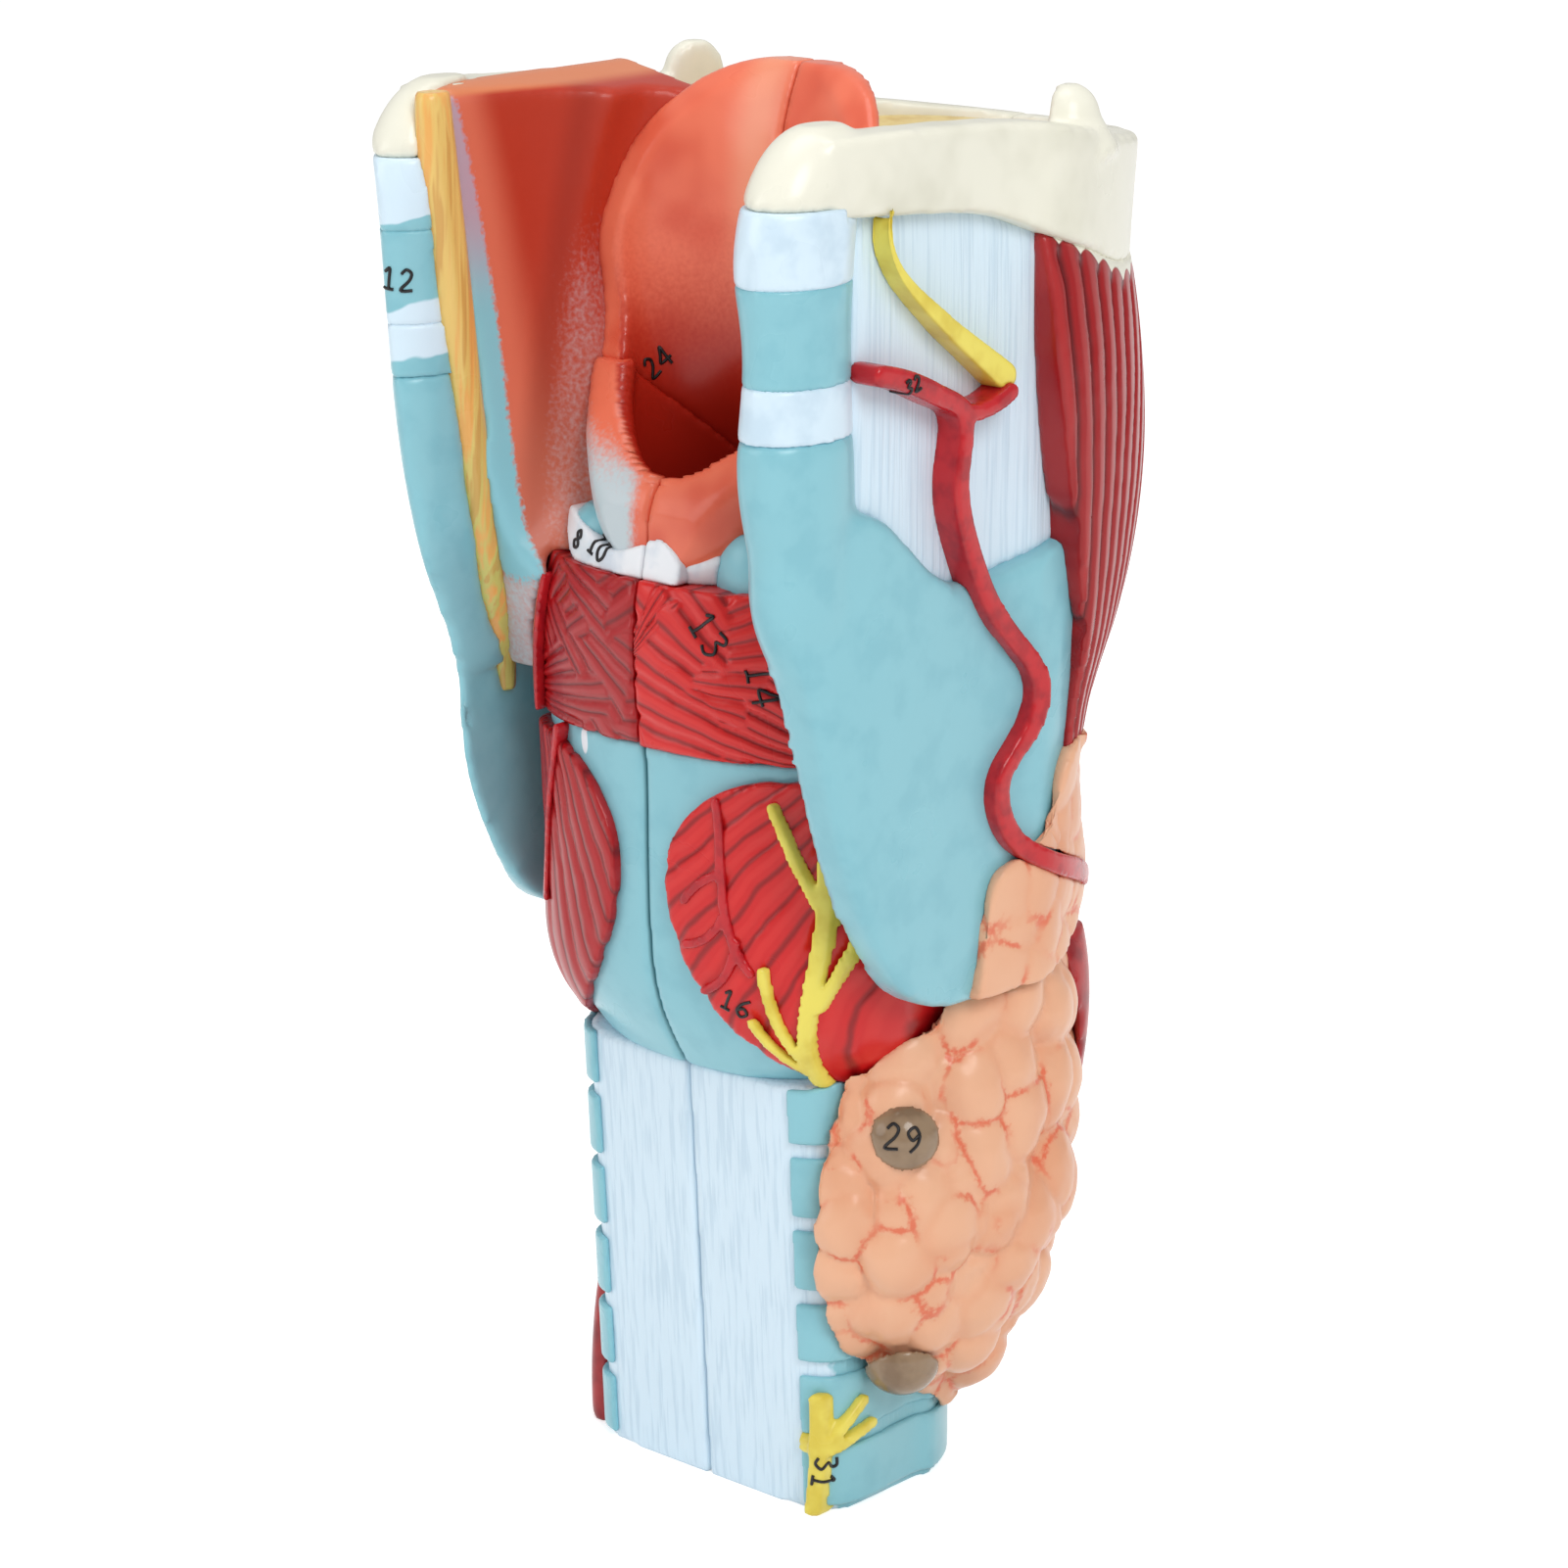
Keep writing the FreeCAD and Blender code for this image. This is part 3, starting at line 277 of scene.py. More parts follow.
def crossing_left_fibres(sheet, place, finer=1.0):
    first = fan(sheet, place, "x", (34.0, 156.0), 18.0 * finer)
    second = fan(sheet, place, "x", (36.0, 126.0), 18.0 * finer)
    over = sheet.noise(place, patch_of_fibres).rise(0.44, 0.50)
    return first * (1 - over) + second * over


def strap_fibres(sheet, place, _finer=1.0):
    """Long upright fibres, as many in the paint as in the form."""
    return fan(sheet, place, "y", (-13.0, 60.0), 84.0, 0.9)


def fibre_paint(fibres, colour, groove, ridge_highlight):
    """Paint with twice as many fine fibres as the form has grooves. The groove colour is painted shade in
    the grooves and the ridge colour a painted highlight on the fibre tops.
    """
    def finish(sheet, place):
        ridges = fibres(sheet, place, 2.0)
        # darker towards the groove colour in the fibre grooves: painted shade
        base = sheet.mix(ridges.rise(0.05, 0.55), groove, colour)
        # lighter ridge colour on the fibre tops: a painted highlight
        return sheet.mix(ridges.rise(0.82, 1.0) * 0.5, base, ridge_highlight), ridges * fibre_relief
    return finish


print("fibre formulas ready")

# %% [markdown]
# ## The paints
# Colours were read off the photograph in even light. Where the painter
# sprayed one colour over another, the finish mixes them by height or depth.
# Some of the colours are painted light: darker fibre grooves and lighter
# fibre tops, the left muscles painted darker as shade, the inlet darker
# deeper in, a dark band in the mucosa's groove and darker edges to the
# gland's lobules.


# %% Finishes
teal, teal_shade = dye(140, 199, 211), dye(133, 193, 206)
pale, pale_shade = dye(217, 237, 250), dye(204, 226, 241)
cream, cream_shade = dye(238, 236, 220), dye(222, 220, 202)
# the middle colour is the inlet's sprayed dark red, laid on thicker deeper in as painted shade
orange, inside_red_and_shade, hot_red = dye(240, 122, 92), dye(186, 42, 26), dye(218, 86, 60)
spray_blue = dye(196, 207, 212)
speckle_size = 0.7

# Places on the model that the sprayed and brushed borders follow
ring_side, ring_back = 24.4 * mm, 13.0 * mm
strap_top, strap_top_slope, strap_top_least = 204.2 * mm, 0.42, 192.0 * mm
strap_scallop, strap_groove = 1.3 * mm, 0.8 * mm
nerve_low, nerve_high, nerve_thinning = 188.0 * mm, 210.0 * mm, 0.9 * mm
facet_side, facet_level, facet_narrowing = 13.62 * mm, 122.2 * mm, 2.6
patch_low, patch_high, upper_patch = 180.0 * mm, 188.3 * mm, 200.8 * mm
inlet_axis, inlet_foot, inlet_top = 15.0 * mm, 150.0 * mm, 216.0 * mm
wing_foot, wing_height, wing_edge, wing_bulge = 156.0 * mm, 62.0 * mm, 32.0 * mm, 8.0 * mm
groove_foot, groove_slope = 56.0 * mm, 0.19
lobule_size, lobule_waves, wave_reach, pillow_depth = 9.6, 130.0, 4.2 * mm, 5.2 * mm
rim_back, rim_level, rim_swelling = 34.8 * mm, 150.0 * mm, 1.3 * mm
rim_slant = math.radians(28.75)


def brushed(colour, streak, size=0.8):
    """Paint drawn downwards with a dry brush."""
    def finish(sheet, place):
        lines = sheet.noise(sheet.stretched(place, 1.0, 1.0, 0.03), size, 3.0)
        return sheet.mix(lines.rise(0.46, 0.66), colour, streak), lines * (0.16 * mm)
    return finish


def strap_edge(sheet, place):
    """How far a point lies above the strap's scalloped upper edge."""
    y, z = sheet.axes(place)[1:]
    top = (y * strap_top_slope + strap_top).larger(strap_top_least)
    return z - top - strap_fibres(sheet, place) * strap_scallop


def strap_paint(sheet, place):
    """Dark red below the scalloped edge and the bone's cream above it."""
    # the darker groove colour is painted shade, the lighter ridge colour a painted highlight
    fibres = fibre_paint(strap_fibres, dye(158, 22, 26), dye(104, 10, 16), dye(184, 52, 52))
    colour, relief = fibres(sheet, place)
    bone = strap_edge(sheet, place).rise(-0.15 * mm, 0.15 * mm)
    return sheet.mix(bone, colour, cream), relief * (1 - bone)


def strap_form(sheet, place):
    """Long grooves that end at the scalloped upper edge."""
    below = 1 - strap_edge(sheet, place).rise(-2.5 * mm, 0.0)
    return (strap_fibres(sheet, place).rise(0.0, 0.7) - 1.0) * strap_groove * below


def nerve_form(sheet, place):
    """The nerve on the membrane starts thin."""
    return sheet.axes(place)[2].rise(nerve_low, nerve_high) * (-nerve_thinning)


def windpipe_paint(sheet, place):
    """Brushed pale at the back, with a ragged border to the teal of the rings."""
    x, y = sheet.axes(place)[:2]
    colour, relief = brushed(pale, dye(203, 225, 240))(sheet, place)
    ragged = (sheet.noise(place, 3.0) - 0.5) * (3.0 * mm)
    side = (abs(x) + ragged).rise(ring_side, ring_side + 0.5 * mm)
    front = 1 - (y + ragged).rise(ring_back, ring_back + 0.6 * mm)
    return sheet.mix(side.larger(front), colour, teal), relief


def cricoid_paint(sheet, place):
    """Teal with a small white joint facet on the left and a darker line along the seam."""
    x = abs(sheet.axes(place)[0])
    colour = plain(teal, teal_shade)(sheet, place)[0]
    off = sheet.add("ShaderNodeVectorMath", {"operation": "DISTANCE"},
                    {0: sheet.stretched(place, facet_narrowing, 0.0, 1.0),
                     1: (facet_side * facet_narrowing, 0.0, facet_level)}, out=1)
    colour = sheet.mix(1 - off.rise(1.9 * mm, 2.4 * mm), colour, dye(236, 240, 246))
    return sheet.mix(1 - x.rise(0.15 * mm, 0.6 * mm), colour, dye(100, 152, 162)), None


def border_paint(sheet, place):
    """The left wing's hind border: white patches on the teal."""
    x, _, z = sheet.axes(place)
    z = z + (sheet.noise(place, 6.0) - 0.5) * (2.4 * mm) + (x - 38.0 * mm) * 0.3
    colour = plain(teal, teal_shade)(sheet, place)[0]
    white = z.band(patch_low, patch_high, 0.25 * mm) + z.rise(upper_patch, upper_patch + 0.4 * mm)
    return sheet.mix(white, colour, pale), None


def inlet_paint(sheet, place):
    """Orange outside and on the rim, sprayed dark red down the inside, and darker deeper in as painted
    shade.
    """
    x, y, z = sheet.axes(place)
    normal = sheet.add("ShaderNodeTexCoord", out="Normal")
    to_axis = sheet.add("ShaderNodeVectorMath", {"operation": "SUBTRACT"},
                        {0: (0.0, inlet_axis, 0.0), 1: place})
    level = sheet.stretched(to_axis, 1.0, 1.0, 0.0)
    inward = sheet.add("ShaderNodeVectorMath", {"operation": "DOT_PRODUCT"}, {0: level, 1: normal}, out=1)
    inside = inward.rise(0.0, 8.0 * mm)
    depth = 1 - z.rise(inlet_foot, inlet_top)
    speckle = sheet.noise(place, speckle_size, 1.0)
    colour = sheet.mix(sheet.noise(place, 16.0).rise(0.4, 0.7), orange, hot_red)
    seam = x.band(1.0 * mm, 8.0 * mm, 3.0 * mm) * z.rise(176.0 * mm, 204.0 * mm)
    colour = sheet.mix(seam * 0.6, colour, dye(244, 168, 134))
    # dark red on the inside, stronger lower down: sprayed paint, and painted shade deeper in
    colour = sheet.mix(inside * (depth + (speckle - 0.5) * 0.2).rise(0.08, 0.75), colour, inside_red_and_shade)
    side = 1 - inward.rise(-12.0 * mm, 1.0 * mm)
    outer = side * (1 - (z + y * 0.4).rise(172.0 * mm, 186.0 * mm)) * x.rise(0.0, 6.0 * mm)
    spray = (outer + (speckle - 0.5) * 0.5).rise(0.2, 0.9)
    return sheet.mix(spray, colour, spray_blue), None


def mucosa_paint(sheet, place):
    """Sprayed red over orange, darker red in the groove as painted shade and misted there, with a thin rim
    along the strip.
    """
    y, z = sheet.axes(place)[1:]
    speckle = sheet.noise(place, speckle_size, 1.0)
    climb = (z - wing_foot) / wing_height
    edge = y - wing_edge - climb * climb * wing_bulge
    groove = y - groove_foot + z * groove_slope
    colour = sheet.mix(z.rise(150.0 * mm, 200.0 * mm), dye(196, 96, 70), dye(188, 56, 34))
    colour = sheet.mix(edge.rise(-9.0 * mm, -2.0 * mm) * 0.8, colour, dye(230, 122, 94))
    # dark red band in the groove between the wing and the inlet: painted shade
    colour = sheet.mix(groove.band(1.0 * mm, 5.0 * mm, 2.0 * mm) * 0.3, colour, dye(120, 30, 18))
    near = (1 - groove.rise(-1.0 * mm, 4.0 * mm)) * (1 - z.rise(188.0 * mm, 208.0 * mm)) * 0.3
    low = (1 - z.rise(142.0 * mm, 153.0 * mm)) * 0.7
    mist = (near.larger(low) + (speckle - 0.5) * 0.5).rise(0.1, 1.0)
    colour = sheet.mix(mist, colour, spray_blue)
    rim = (edge + (speckle - 0.5) * (1.6 * mm)).rise(-1.5 * mm, -0.5 * mm)
    colour = sheet.mix(rim, colour, sheet.mix(z.rise(186.0 * mm, 204.0 * mm), teal, dye(190, 160, 176)))
    return sheet.mix(z.rise(219.6 * mm, 220.6 * mm), colour, dye(222, 132, 88)), None


def strip_paint(sheet, place):
    """Cut tissue: long yellow and olive strands."""
    strands = sheet.noise(sheet.stretched(place, 1.0, 1.0, 0.05), 1.8, 2.0)
    z = sheet.axes(place)[2]
    pith = sheet.mix(z.rise(140.0 * mm, 190.0 * mm), dye(208, 200, 112), dye(234, 196, 112))
    colour = sheet.mix(strands.rise(0.40, 0.54), dye(238, 176, 96), pith)
    return sheet.mix(strands.rise(0.58, 0.66) * 0.6, colour, dye(206, 146, 74)), strands * (0.4 * mm)


def lobules(sheet, place, feature):
    """Cells of about nine millimetres with wavy borders, as the gland's lobules lie."""
    wave = sheet.add("ShaderNodeTexNoise", None, {"Vector": place, "Scale": lobule_waves}, out=1)
    bent = sheet.add("ShaderNodeVectorMath", {"operation": "ADD"},
                     {0: place, 1: sheet.stretched(wave, wave_reach, wave_reach, wave_reach)})
    return sheet.cells(sheet.stretched(bent, 1.0, 1.0, 0.92), lobule_size, feature)


def gland_paint(sheet, place):
    """Peach lobules, a little darker towards every crease as painted shade, with orange-red rubbed into
    some of the creases.
    """
    edge = lobules(sheet, place, "DISTANCE_TO_EDGE")
    speckle = sheet.noise(place, 0.9, 2.0)
    patch = sheet.noise(place, 9.0).rise(0.47, 0.60)
    crease = (1 - (edge + (speckle - 0.5) * 0.20).rise(0.0, 0.085)) * patch
    colour = sheet.mix(sheet.noise(place, 20.0).rise(0.4, 0.7), dye(235, 180, 145), dye(228, 166, 130))
    # slightly darker peach towards every crease: painted shade
    colour = sheet.mix((1 - edge.rise(0.0, 0.16)) * 0.22, colour, dye(226, 150, 112))
    return sheet.mix(crease * 0.85, colour, dye(224, 104, 70)), None


def gland_form(sheet, place):
    """Each lobule is a low round pillow, so that a crease lies where two meet."""
    middle = lobules(sheet, place, "F1")
    lumps = sheet.noise(place, 16.0)
    return middle * middle * (-pillow_depth) * (lumps + 0.5) + 0.35 * mm


def pole_form(sheet, place):
    """The same lobules, flatter on the thin upper pole."""
    return gland_form(sheet, place) * 0.4


def rim_form(sheet, place):
    """The inlet's slanting rim swells into a round roll."""
    y, z = sheet.axes(place)[1:]
    below = (y - rim_back) * math.cos(rim_slant) + (z - rim_level) * math.sin(rim_slant)
    return below.rise(-6.0 * mm, -2.0 * mm) * rim_swelling


def artery_paint(sheet, place):
    return sheet.mix(sheet.noise(place, 3.0).rise(0.4, 0.7), dye(196, 32, 40), dye(168, 22, 34)), None


print("finishes ready")

# %% Materials
paint = {
    "teal": lacquer("teal_cartilage_paint", plain(teal, teal_shade)),
    "cricoid": lacquer("cricoid_paint", cricoid_paint),
    "border": lacquer("left_border_paint", border_paint),
    "windpipe": lacquer("windpipe_paint", windpipe_paint, 0.36),
    "membrane": lacquer("membrane_paint", brushed(pale, dye(204, 226, 241), 0.7), 0.34),
    "pale": lacquer("ligament_paint", plain(pale, pale_shade)),
    "cream": lacquer("bone_paint", plain(cream, cream_shade, 18.0)),
    "white": lacquer("white_cap_paint", plain(dye(240, 242, 246), dye(214, 222, 232))),
    # in each muscle paint the groove colour is painted shade and the ridge colour a painted highlight
    "crossing_right": lacquer(
        "crossing_muscle_paint_right",
        fibre_paint(crossing_right_fibres, dye(210, 24, 24), dye(150, 8, 12), dye(224, 48, 42))),
    # the left crossing muscle is the right one's red made darker: painted shade on the left side
    "crossing_left": lacquer(
        "crossing_muscle_paint_left_painted_shade",
        fibre_paint(crossing_left_fibres, dye(166, 14, 20), dye(124, 6, 14), dye(184, 48, 52))),
    "posterior_right": lacquer(
        "oval_muscle_paint_right",
        fibre_paint(posterior_right_fibres, dye(208, 24, 26), dye(150, 8, 14), dye(220, 46, 42))),
    # the left oval muscle is the right one's red made darker: painted shade on the left side
    "posterior_left": lacquer(
        "oval_muscle_paint_left_painted_shade",
        fibre_paint(posterior_left_fibres, dye(170, 18, 24), dye(126, 8, 16), dye(184, 48, 52))),
    "strap": lacquer("strap_muscle_paint", strap_paint),
    "inner_muscle": lacquer("inner_muscle_paint", plain(dye(176, 44, 46), dye(140, 26, 32))),
    "inlet": lacquer("inlet_paint", inlet_paint),
    "mucosa": lacquer("mucosa_paint", mucosa_paint, 0.42),
    "strip": lacquer("cut_strip_paint", strip_paint),
    "lining": lacquer("lining_paint", plain(dye(222, 132, 116), dye(200, 100, 88))),
    "fat": lacquer("fat_paint", plain(dye(232, 206, 130), dye(214, 180, 96), 4.0)),
    "gland": lacquer("gland_paint", gland_paint, 0.36),
    "brown": lacquer("small_gland_paint", plain(dye(150, 126, 100), dye(128, 104, 80)), 0.16),
    "artery": lacquer("artery_paint", artery_paint, 0.24),
    "nerve": lacquer("nerve_paint", plain(dye(236, 220, 96), dye(222, 200, 74))),
    "pin": lacquer("pin_paint", plain(dye(210, 208, 200), dye(188, 186, 178))),
}
print("paints:", len(paint))

# %% [markdown]
# ## From a hard solid to a moulded form
# The CAD solids have sharp edges where the real moulding is rounded. Each
# solid's copy is remeshed in small cubes, smoothed, and then a small tree of
# Geometry Nodes lets its skin grow by a fraction of a millimetre, so that
# neighbours still meet, adds the piece's relief, and keeps every point
# inside the solid's own box.


# %% The skin tree
def skin_tree(name, form=None):
    tree = bpy.data.node_groups.new(name, "GeometryNodeTree")
    tree.is_modifier = True
    ends = {}
    for label, kind in (("Geometry", "NodeSocketGeometry"), ("Grow", "NodeSocketFloat"),
                        ("Lowest corner", "NodeSocketVector"), ("Highest corner", "NodeSocketVector"),
                        ("Paint", "NodeSocketMaterial")):
        ends[label] = tree.interface.new_socket(label, in_out="INPUT", socket_type=kind).identifier
    tree.interface.new_socket("Geometry", in_out="OUTPUT", socket_type="NodeSocketGeometry")
    sheet = Sheet(tree)
    given = tree.nodes.new("NodeGroupInput")
    taken = tree.nodes.new("NodeGroupOutput")
    inputs = {label: Field(sheet, given.outputs[label]) for label in ends}
    place = sheet.add("GeometryNodeInputPosition")
    normal = sheet.add("GeometryNodeInputNormal")
    height = inputs["Grow"] + 0.0 if form is None else inputs["Grow"] + form(sheet, place)
    out = sheet.add("ShaderNodeVectorMath", {"operation": "SCALE"}, {0: normal, 3: height})
    for operation, other in (("ADD", place), ("MAXIMUM", inputs["Lowest corner"]),
                             ("MINIMUM", inputs["Highest corner"])):
        out = sheet.add("ShaderNodeVectorMath", {"operation": operation}, {0: out, 1: other})
    body = sheet.add("GeometryNodeSetPosition", None, {"Geometry": inputs["Geometry"], "Position": out})
    body = sheet.add("GeometryNodeSetShadeSmooth", None, {"Geometry": body})
    body = sheet.add("GeometryNodeRealizeInstances", None, {"Geometry": body})
    body = sheet.add("GeometryNodeSetMaterial", None, {"Geometry": body, "Material": inputs["Paint"]})
    tree.links.new(body.socket, taken.inputs[0])
    return tree, ends


def fibre_form(fibres, depth):
    """Grooves between the fibres."""
    def form(sheet, place):
        return (fibres(sheet, place).rise(0.0, 0.7) - 1.0) * (depth * mm)
    return form


skins = {
    "smooth": skin_tree("smooth_skin"),
    "gland": skin_tree("gland_skin", gland_form),
    "pole": skin_tree("pole_skin", pole_form),
    "rim": skin_tree("rim_skin", rim_form),
    "strap": skin_tree("strap_skin", strap_form),
    "nerve": skin_tree("nerve_skin", nerve_form),
    "crossing_right": skin_tree("crossing_skin_right", fibre_form(crossing_right_fibres, 0.5)),
    "crossing_left": skin_tree("crossing_skin_left", fibre_form(crossing_left_fibres, 0.5)),
    "posterior_right": skin_tree("oval_skin_right", fibre_form(posterior_right_fibres, 0.4)),
    "posterior_left": skin_tree("oval_skin_left", fibre_form(posterior_left_fibres, 0.4)),
}
print("skin trees:", len(skins))

# %% [markdown]
# ## Which solid gets which skin
# The cube size follows the smallest detail of the piece: about a third of a
# millimetre on nerves and nearly one on the plain walls.

# %% Table of pieces
dressing = {
    # piece: paint, skin, cube in mm, smoothing passes, growth in mm
    "windpipe_wall": ("windpipe", "smooth", 0.7, 4, 0.15),
    "windpipe_rings": ("teal", "smooth", 0.45, 5, 0.10),
    "cricoid_cartilage": ("cricoid", "smooth", 0.7, 6, 0.20),
    "vocal_muscle": ("inner_muscle", "smooth", 1.0, 5, 0.20),
    "arytenoid_cartilage": ("teal", "smooth", 0.5, 6, 0.15),
    "interarytenoid_muscle": ("crossing", "crossing", 0.5, 6, 0.25),
    "corniculate_cartilage": ("white", "smooth", 0.35, 5, 0.20),
    "posterior_cricoid_muscle": ("posterior", "posterior", 0.45, 6, 0.20),
    "airway_lining": ("lining", "smooth", 0.9, 5, 0.20),
    "vocal_fold": ("white", "smooth", 0.6, 5, 0.20),
    "vestibular_fold": ("lining", "smooth", 0.6, 5, 0.20),
    "epiglottis": ("inlet", "smooth", 0.6, 10, 0.35),
    "inlet_fold": ("inlet", "rim", 0.6, 10, 0.35),
    "epiglottic_fat": ("fat", "smooth", 1.0, 5, 0.20),
    "cricothyroid_muscle": ("inner_muscle", "smooth", 0.8, 5, 0.20),
    "thyroid_lamina": ("teal", "smooth", 0.8, 10, 0.35),
    "hyoid_bone": ("cream", "smooth", 0.7, 10, 0.35),
    "triticeate_cartilage": ("teal", "smooth", 0.5, 3, 0.35),
    "thyrohyoid_ligament": ("pale", "smooth", 0.5, 3, 0.35),
    "thyrohyoid_membrane": ("membrane", "smooth", 0.7, 5, 0.30),
    "thyrohyoid_muscle": ("strap", "strap", 0.6, 8, 0.30),
    "sternothyroid_muscle": ("inner_muscle", "smooth", 0.7, 6, 0.20),
    "pharynx_mucosa": ("mucosa", "smooth", 0.8, 8, 0.30),
    "cut_tissue_strip": ("strip", "smooth", 0.6, 5, 0.25),
    "laryngeal_vessel": ("artery", "smooth", 0.3, 4, 0.10),
    "quadrangular_membrane": ("white", "smooth", 0.5, 5, 0.15),
    "thyroid_gland": ("gland", "gland", 0.7, 6, 0.30),
    "gland_upper_pole": ("gland", "pole", 0.5, 4, 0.30),
    "upper_small_gland": ("brown", "smooth", 0.4, 6, 0.10),
    "lower_small_gland": ("brown", "smooth", 0.4, 6, 0.10),
    "recurrent_nerve": ("nerve", "smooth", 0.35, 6, 0.15),
    "lower_nerve": ("nerve", "smooth", 0.35, 6, 0.15),
    "laryngeal_nerve": ("nerve", "nerve", 0.35, 8, 0.10),
    "thyroid_artery": ("artery", "smooth", 0.4, 8, 0.15),
    "seam_pins": ("pin", "smooth", 0.5, 2, 0.0),
    "wall_pins": ("pin", "smooth", 0.5, 2, 0.0),
}
weld_reach = 0.01 * mm
left_border = ("triticeate_cartilage", "thyrohyoid_ligament", "thyroid_lamina")
body_of = {node: body for body, nodes in frame["record"]["behaviour"]["bodies"].items() for node in nodes}


def dressed(node):
    """The moulded and painted piece that stands for one solid."""
    side, part = node.split("_", 1)
    colour, skin, cube, passes, growth = dressing[part]
    if colour + "_" + side in paint:
        colour = colour + "_" + side
    if side == "left" and part in left_border:
        colour = "border"
    tree, ends = skins[skin + "_" + side if skin + "_" + side in skins else skin]
    low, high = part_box(node)
    rough = bpy.data.objects.new("rough_" + node, solids[node].data.copy())
    bpy.context.scene.collection.objects.link(rough)
    rough.data.materials.clear()
    weld = rough.modifiers.new("weld", "WELD")
    weld.merge_threshold = weld_reach
    cubes = rough.modifiers.new("cubes", "REMESH")
    cubes.mode = "VOXEL"
    cubes.voxel_size = cube * mm
    soft = rough.modifiers.new("soft", "SMOOTH")
    soft.factor, soft.iterations = 0.5, passes
    grown = rough.modifiers.new("skin", "NODES")
    grown.node_group = tree
    for label, value in (("Grow", growth * mm), ("Lowest corner", low), ("Highest corner", high),
                         ("Paint", paint[colour])):
        grown[ends[label]] = value
    graph = bpy.context.evaluated_depsgraph_get()
    mesh = bpy.data.meshes.new_from_object(rough.evaluated_get(graph))
    bpy.data.objects.remove(rough)
    piece = bpy.data.objects.new("moulded_" + node, mesh)
    bpy.context.scene.collection.objects.link(piece)
    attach(piece, body_of[node])
    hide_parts(node)
    return piece


# %% Dress every solid
pieces = {}
for node in sorted(solids):
    pieces[node] = dressed(node)
    print(node, len(pieces[node].data.polygons), "faces")

# %% [markdown]
# ## Key numbers
# The maker numbered the structures by hand with a fine black pen, so that a
# key can name them. Each digit is a few pen strokes. The strokes are laid
# flat in front of the surface, every point is dropped onto what lies behind
# it, and a thin round line follows the points, half sunk like a bead of ink.

# %% Pen strokes of the digits, in a box 0.6 wide and 1 high
strokes = {
    "0": [[(0.30, 1.0), (0.06, 0.7), (0.06, 0.3), (0.30, 0.0), (0.54, 0.3), (0.54, 0.7), (0.30, 1.0)]],
    "1": [[(0.12, 0.80), (0.32, 1.0), (0.32, 0.5), (0.32, 0.0)], [(0.10, 0.0), (0.56, 0.02)]],
    "2": [[(0.06, 0.78), (0.26, 1.0), (0.50, 0.84), (0.42, 0.5), (0.06, 0.02), (0.60, 0.05)]],
    "3": [[(0.06, 0.92), (0.40, 0.98), (0.50, 0.78), (0.24, 0.55), (0.54, 0.30), (0.34, 0.0),
           (0.04, 0.08)]],
    "4": [[(0.42, 0.0), (0.42, 0.5), (0.42, 1.0), (0.22, 0.66), (0.02, 0.32), (0.60, 0.34)]],
    "6": [[(0.50, 1.0), (0.20, 0.70), (0.06, 0.28), (0.30, 0.0), (0.54, 0.24), (0.34, 0.50), (0.10, 0.34)]],
    "8": [[(0.30, 0.52), (0.10, 0.76), (0.30, 1.0), (0.50, 0.76), (0.30, 0.52), (0.05, 0.26), (0.30, 0.0),
           (0.55, 0.26), (0.30, 0.52)]],
    "9": [[(0.52, 0.76), (0.30, 1.0), (0.08, 0.74), (0.30, 0.48), (0.52, 0.74), (0.50, 0.36), (0.26, 0.0)]],
}
# text, centre in mm, outward direction, turn in degrees, height in mm, body
numbers = [
    ("12", (34.9, 48.9, 193.3), (-0.61, 0.79, -0.06), -6, 3.3, "left_half"),
    ("24", (18.2, 10.4, 177.4), (-0.93, 0.30, 0.2), 34, 3.2, "left_half"),
    ("8", (15.7, 30.2, 153.2), (0.38, 0.88, 0.28), -20, 3.0, "left_half"),
    ("10", (10.2, 31.6, 153.0), (0.14, 0.97, 0.21), -20, 3.1, "left_half"),
    ("13", (-14.2, 33.3, 143.9), (-0.17, 0.98, 0.11), -52, 4.4, "right_half"),
    ("14", (-22.5, 30.7, 137.0), (-0.49, 0.87, -0.02), -78, 4.4, "right_half"),
    ("16", (-17.1, 30.9, 86.3), (-0.21, 0.96, -0.21), -24, 3.4, "right_half"),
    ("29", (-38.9, 17.4, 66.2), (-0.57, 0.75, 0.33), -8, 3.9, "right_half"),
    ("31", (-24.6, 18.9, 7.6), (-0.70, 0.71, 0.05), -100, 3.6, "right_half"),
    ("32", (-47.4, 26.4, 184.9), (-0.98, 0.2, 0.0), 12, 2.2, "right_wall"),
]


# %% Write the numbers on the surfaces
digit_width, digit_pitch = 0.62, 0.82
pen_above, pen_reach = 9.0 * mm, 30.0 * mm
ink_rise, ink_radius = 0.05 * mm, 0.27 * mm


def smooth_line(points, steps=5):
    """Points of a smooth line through the given ones."""
    line = []
    padded = [points[0]] + list(points) + [points[-1]]
    for a, b, c, d in zip(padded, padded[1:], padded[2:], padded[3:]):
        for step in range(steps):
            t = step / steps
            shares = (-t + 2 * t ** 2 - t ** 3, 2 - 5 * t ** 2 + 3 * t ** 3,
                      t + 4 * t ** 2 - 3 * t ** 3, t ** 3 - t ** 2)
            line.append(tuple(0.5 * sum(share * point[k] for share, point in zip(shares, (a, b, c, d)))
                              for k in range(2)))
    return line + [points[-1]]


def surface_of(body):
    """One tree of all the faces that ride on a body, to drop points onto."""
    corners, faces = [], []
    for node, piece in pieces.items():
        if body_of[node] == body:
            start = len(corners)
            corners.extend(v.co.copy() for v in piece.data.vertices)
            faces.extend([start + k for k in face.vertices] for face in piece.data.polygons)
    return BVHTree.FromPolygons(corners, faces)


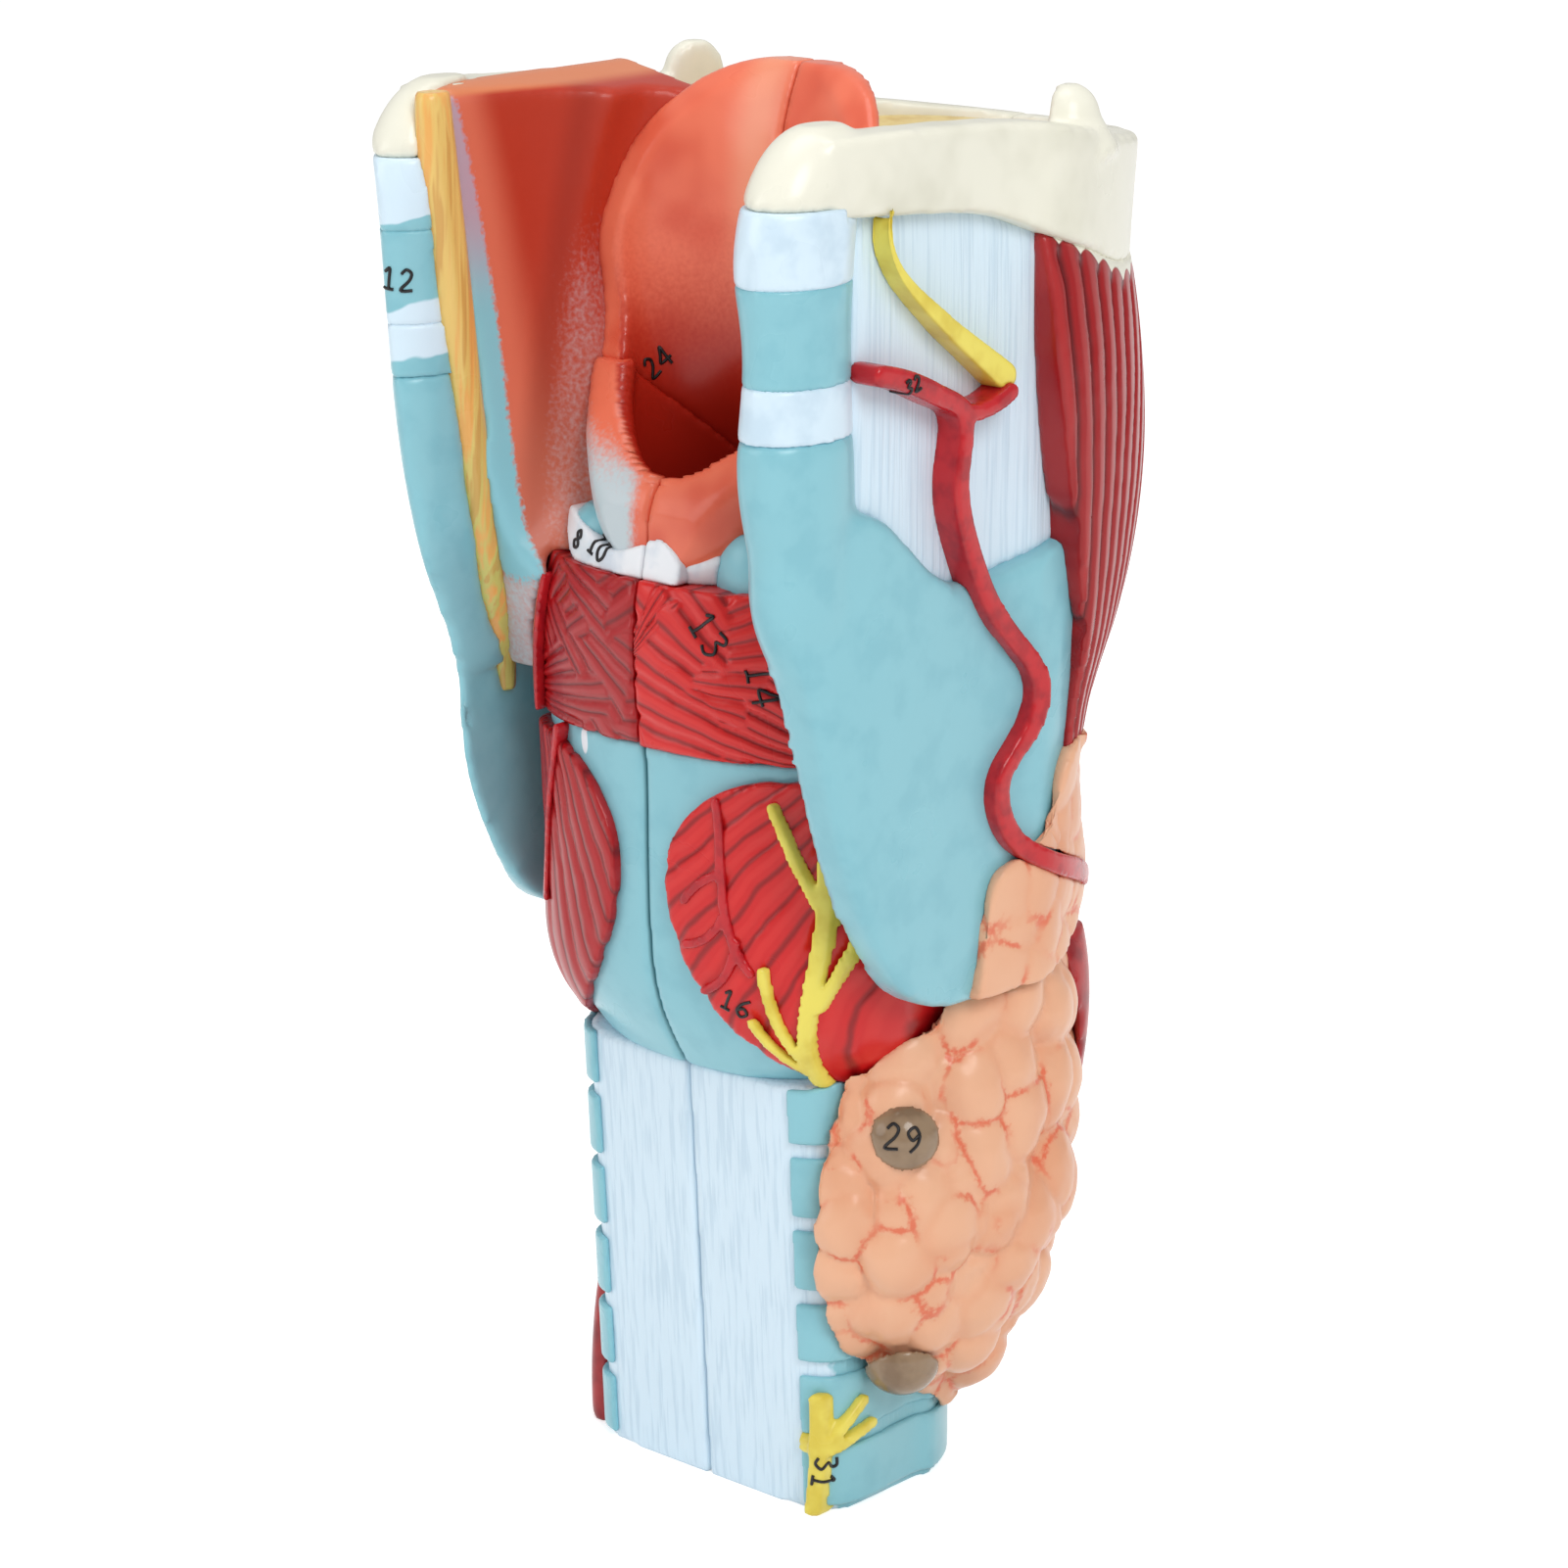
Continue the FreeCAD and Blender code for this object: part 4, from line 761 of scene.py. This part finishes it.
def written(text, centre, outward, turn, height, surface):
    """Lines of points on the surface for one number."""
    outward = Vector(outward).normalized()
    right = Vector((0, 0, 1)).cross(outward).normalized()
    up = outward.cross(right)
    angle = math.radians(turn)
    along = right * math.cos(angle) + up * math.sin(angle)
    upward = up * math.cos(angle) - right * math.sin(angle)
    wide = digit_pitch * (len(text) - 1) + digit_width
    lines = []
    for place, digit in enumerate(text):
        for stroke in strokes[digit]:
            line = []
            for u, v in smooth_line(stroke):
                flat = along * (u + digit_pitch * place - wide / 2) + upward * (v - 0.5)
                start = Vector(centre) * mm + flat * (height * mm) + outward * pen_above
                spot = surface.ray_cast(start, -outward, pen_reach)[0]
                if spot is not None:
                    line.append(spot + outward * ink_rise)
            if len(line) > 2:
                lines.append(line)
    return lines


ink_paint = lacquer("black_ink", plain(dye(22, 20, 22), dye(34, 30, 32)), 0.4)
for body in ("left_half", "right_half", "right_wall"):
    surface = surface_of(body)
    curve = bpy.data.curves.new("ink_" + body, "CURVE")
    curve.dimensions = "3D"
    curve.bevel_depth, curve.bevel_resolution, curve.use_fill_caps = ink_radius, 1, True
    for text, centre, outward, turn, height, carrier in numbers:
        for line in written(text, centre, outward, turn, height, surface) if carrier == body else []:
            spline = curve.splines.new("POLY")
            spline.points.add(len(line) - 1)
            for point, spot in zip(spline.points, line):
                point.co = (*spot, 1.0)
    rough = bpy.data.objects.new("rough_ink", curve)
    bpy.context.scene.collection.objects.link(rough)
    graph = bpy.context.evaluated_depsgraph_get()
    mesh = bpy.data.meshes.new_from_object(rough.evaluated_get(graph))
    bpy.data.objects.remove(rough)
    mesh.materials.clear()
    mesh.materials.append(ink_paint)
    ink = bpy.data.objects.new("key_numbers_" + body, mesh)
    bpy.context.scene.collection.objects.link(ink)
    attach(ink, body)
    print(ink.name, len(mesh.polygons), "faces")

# %% [markdown]
# ## Floor, light and white background
# The photograph was lit by large soft boxes on white paper. The floor and the
# world show white to the camera, and the lamps stay at a plain level.


# %% Studio
room_glow, floor_half = 0.52, 3.0


def white_room(name, shade):
    material = bpy.data.materials.new(name)
    material.use_nodes = True
    tree = material.node_tree
    tree.nodes.clear()
    sheet = Sheet(tree)
    seen = sheet.add("ShaderNodeLightPath", out="Is Camera Ray")
    mirrored = sheet.add("ShaderNodeLightPath", out="Is Glossy Ray")
    grain = sheet.noise(sheet.add("ShaderNodeTexCoord", out="Object"), 40.0)
    shader = tree.nodes.new("ShaderNodeBsdfPrincipled")
    shader.inputs["Roughness"].default_value = 0.9
    shader.inputs["Emission Color"].default_value = (1, 1, 1, 1)
    tree.links.new(sheet.mix(grain, shade, dye(250, 250, 250)).socket, shader.inputs["Base Color"])
    tree.links.new((seen.larger(mirrored) * room_glow).socket, shader.inputs["Emission Strength"])
    output = tree.nodes.new("ShaderNodeOutputMaterial")
    tree.links.new(shader.outputs[0], output.inputs[0])
    return material


floor_mesh = bpy.data.meshes.new("floor")
corners = [(floor_half * x, floor_half * y, 0) for x, y in ((-1, -1), (1, -1), (1, 1), (-1, 1))]
floor_mesh.from_pydata(corners, [], [(0, 1, 2, 3)])
floor = bpy.data.objects.new("floor", floor_mesh)
floor_mesh.materials.append(white_room("paper", dye(246, 246, 246)))
bpy.context.scene.collection.objects.link(floor)

world = bpy.data.worlds.new("studio")
bpy.context.scene.world = world
world.use_nodes = True
world_tree = world.node_tree
world_tree.nodes.clear()
sheet = Sheet(world_tree)
seen = sheet.add("ShaderNodeLightPath", out="Is Camera Ray")
background = world_tree.nodes.new("ShaderNodeBackground")
background.inputs["Color"].default_value = (1, 1, 1, 1)
world_tree.links.new((seen * (1 - room_glow) + room_glow).socket, background.inputs["Strength"])
world_output = world_tree.nodes.new("ShaderNodeOutputWorld")
world_tree.links.new(background.outputs[0], world_output.inputs[0])


def soft_box(name, place, size, power):
    light = bpy.data.lights.new(name, "AREA")
    light.shape, light.size, light.energy = "DISK", size, power
    lamp = bpy.data.objects.new(name, light)
    bpy.context.scene.collection.objects.link(lamp)
    lamp.location = place
    lamp.rotation_mode = "QUATERNION"
    lamp.rotation_quaternion = (aim - Vector(place)).to_track_quat("-Z", "Y")


soft_box("key", (-1.1, 0.5, 1.1), 0.7, 9.5)
soft_box("fill", (0.7, 1.3, 0.6), 0.9, 4.5)
soft_box("top", (0.1, 0.0, 1.5), 0.8, 4.5)
bpy.context.scene.view_settings.view_transform = "Standard"
print("studio ready")

# %% Hand over
print("pieces:", len(pieces))
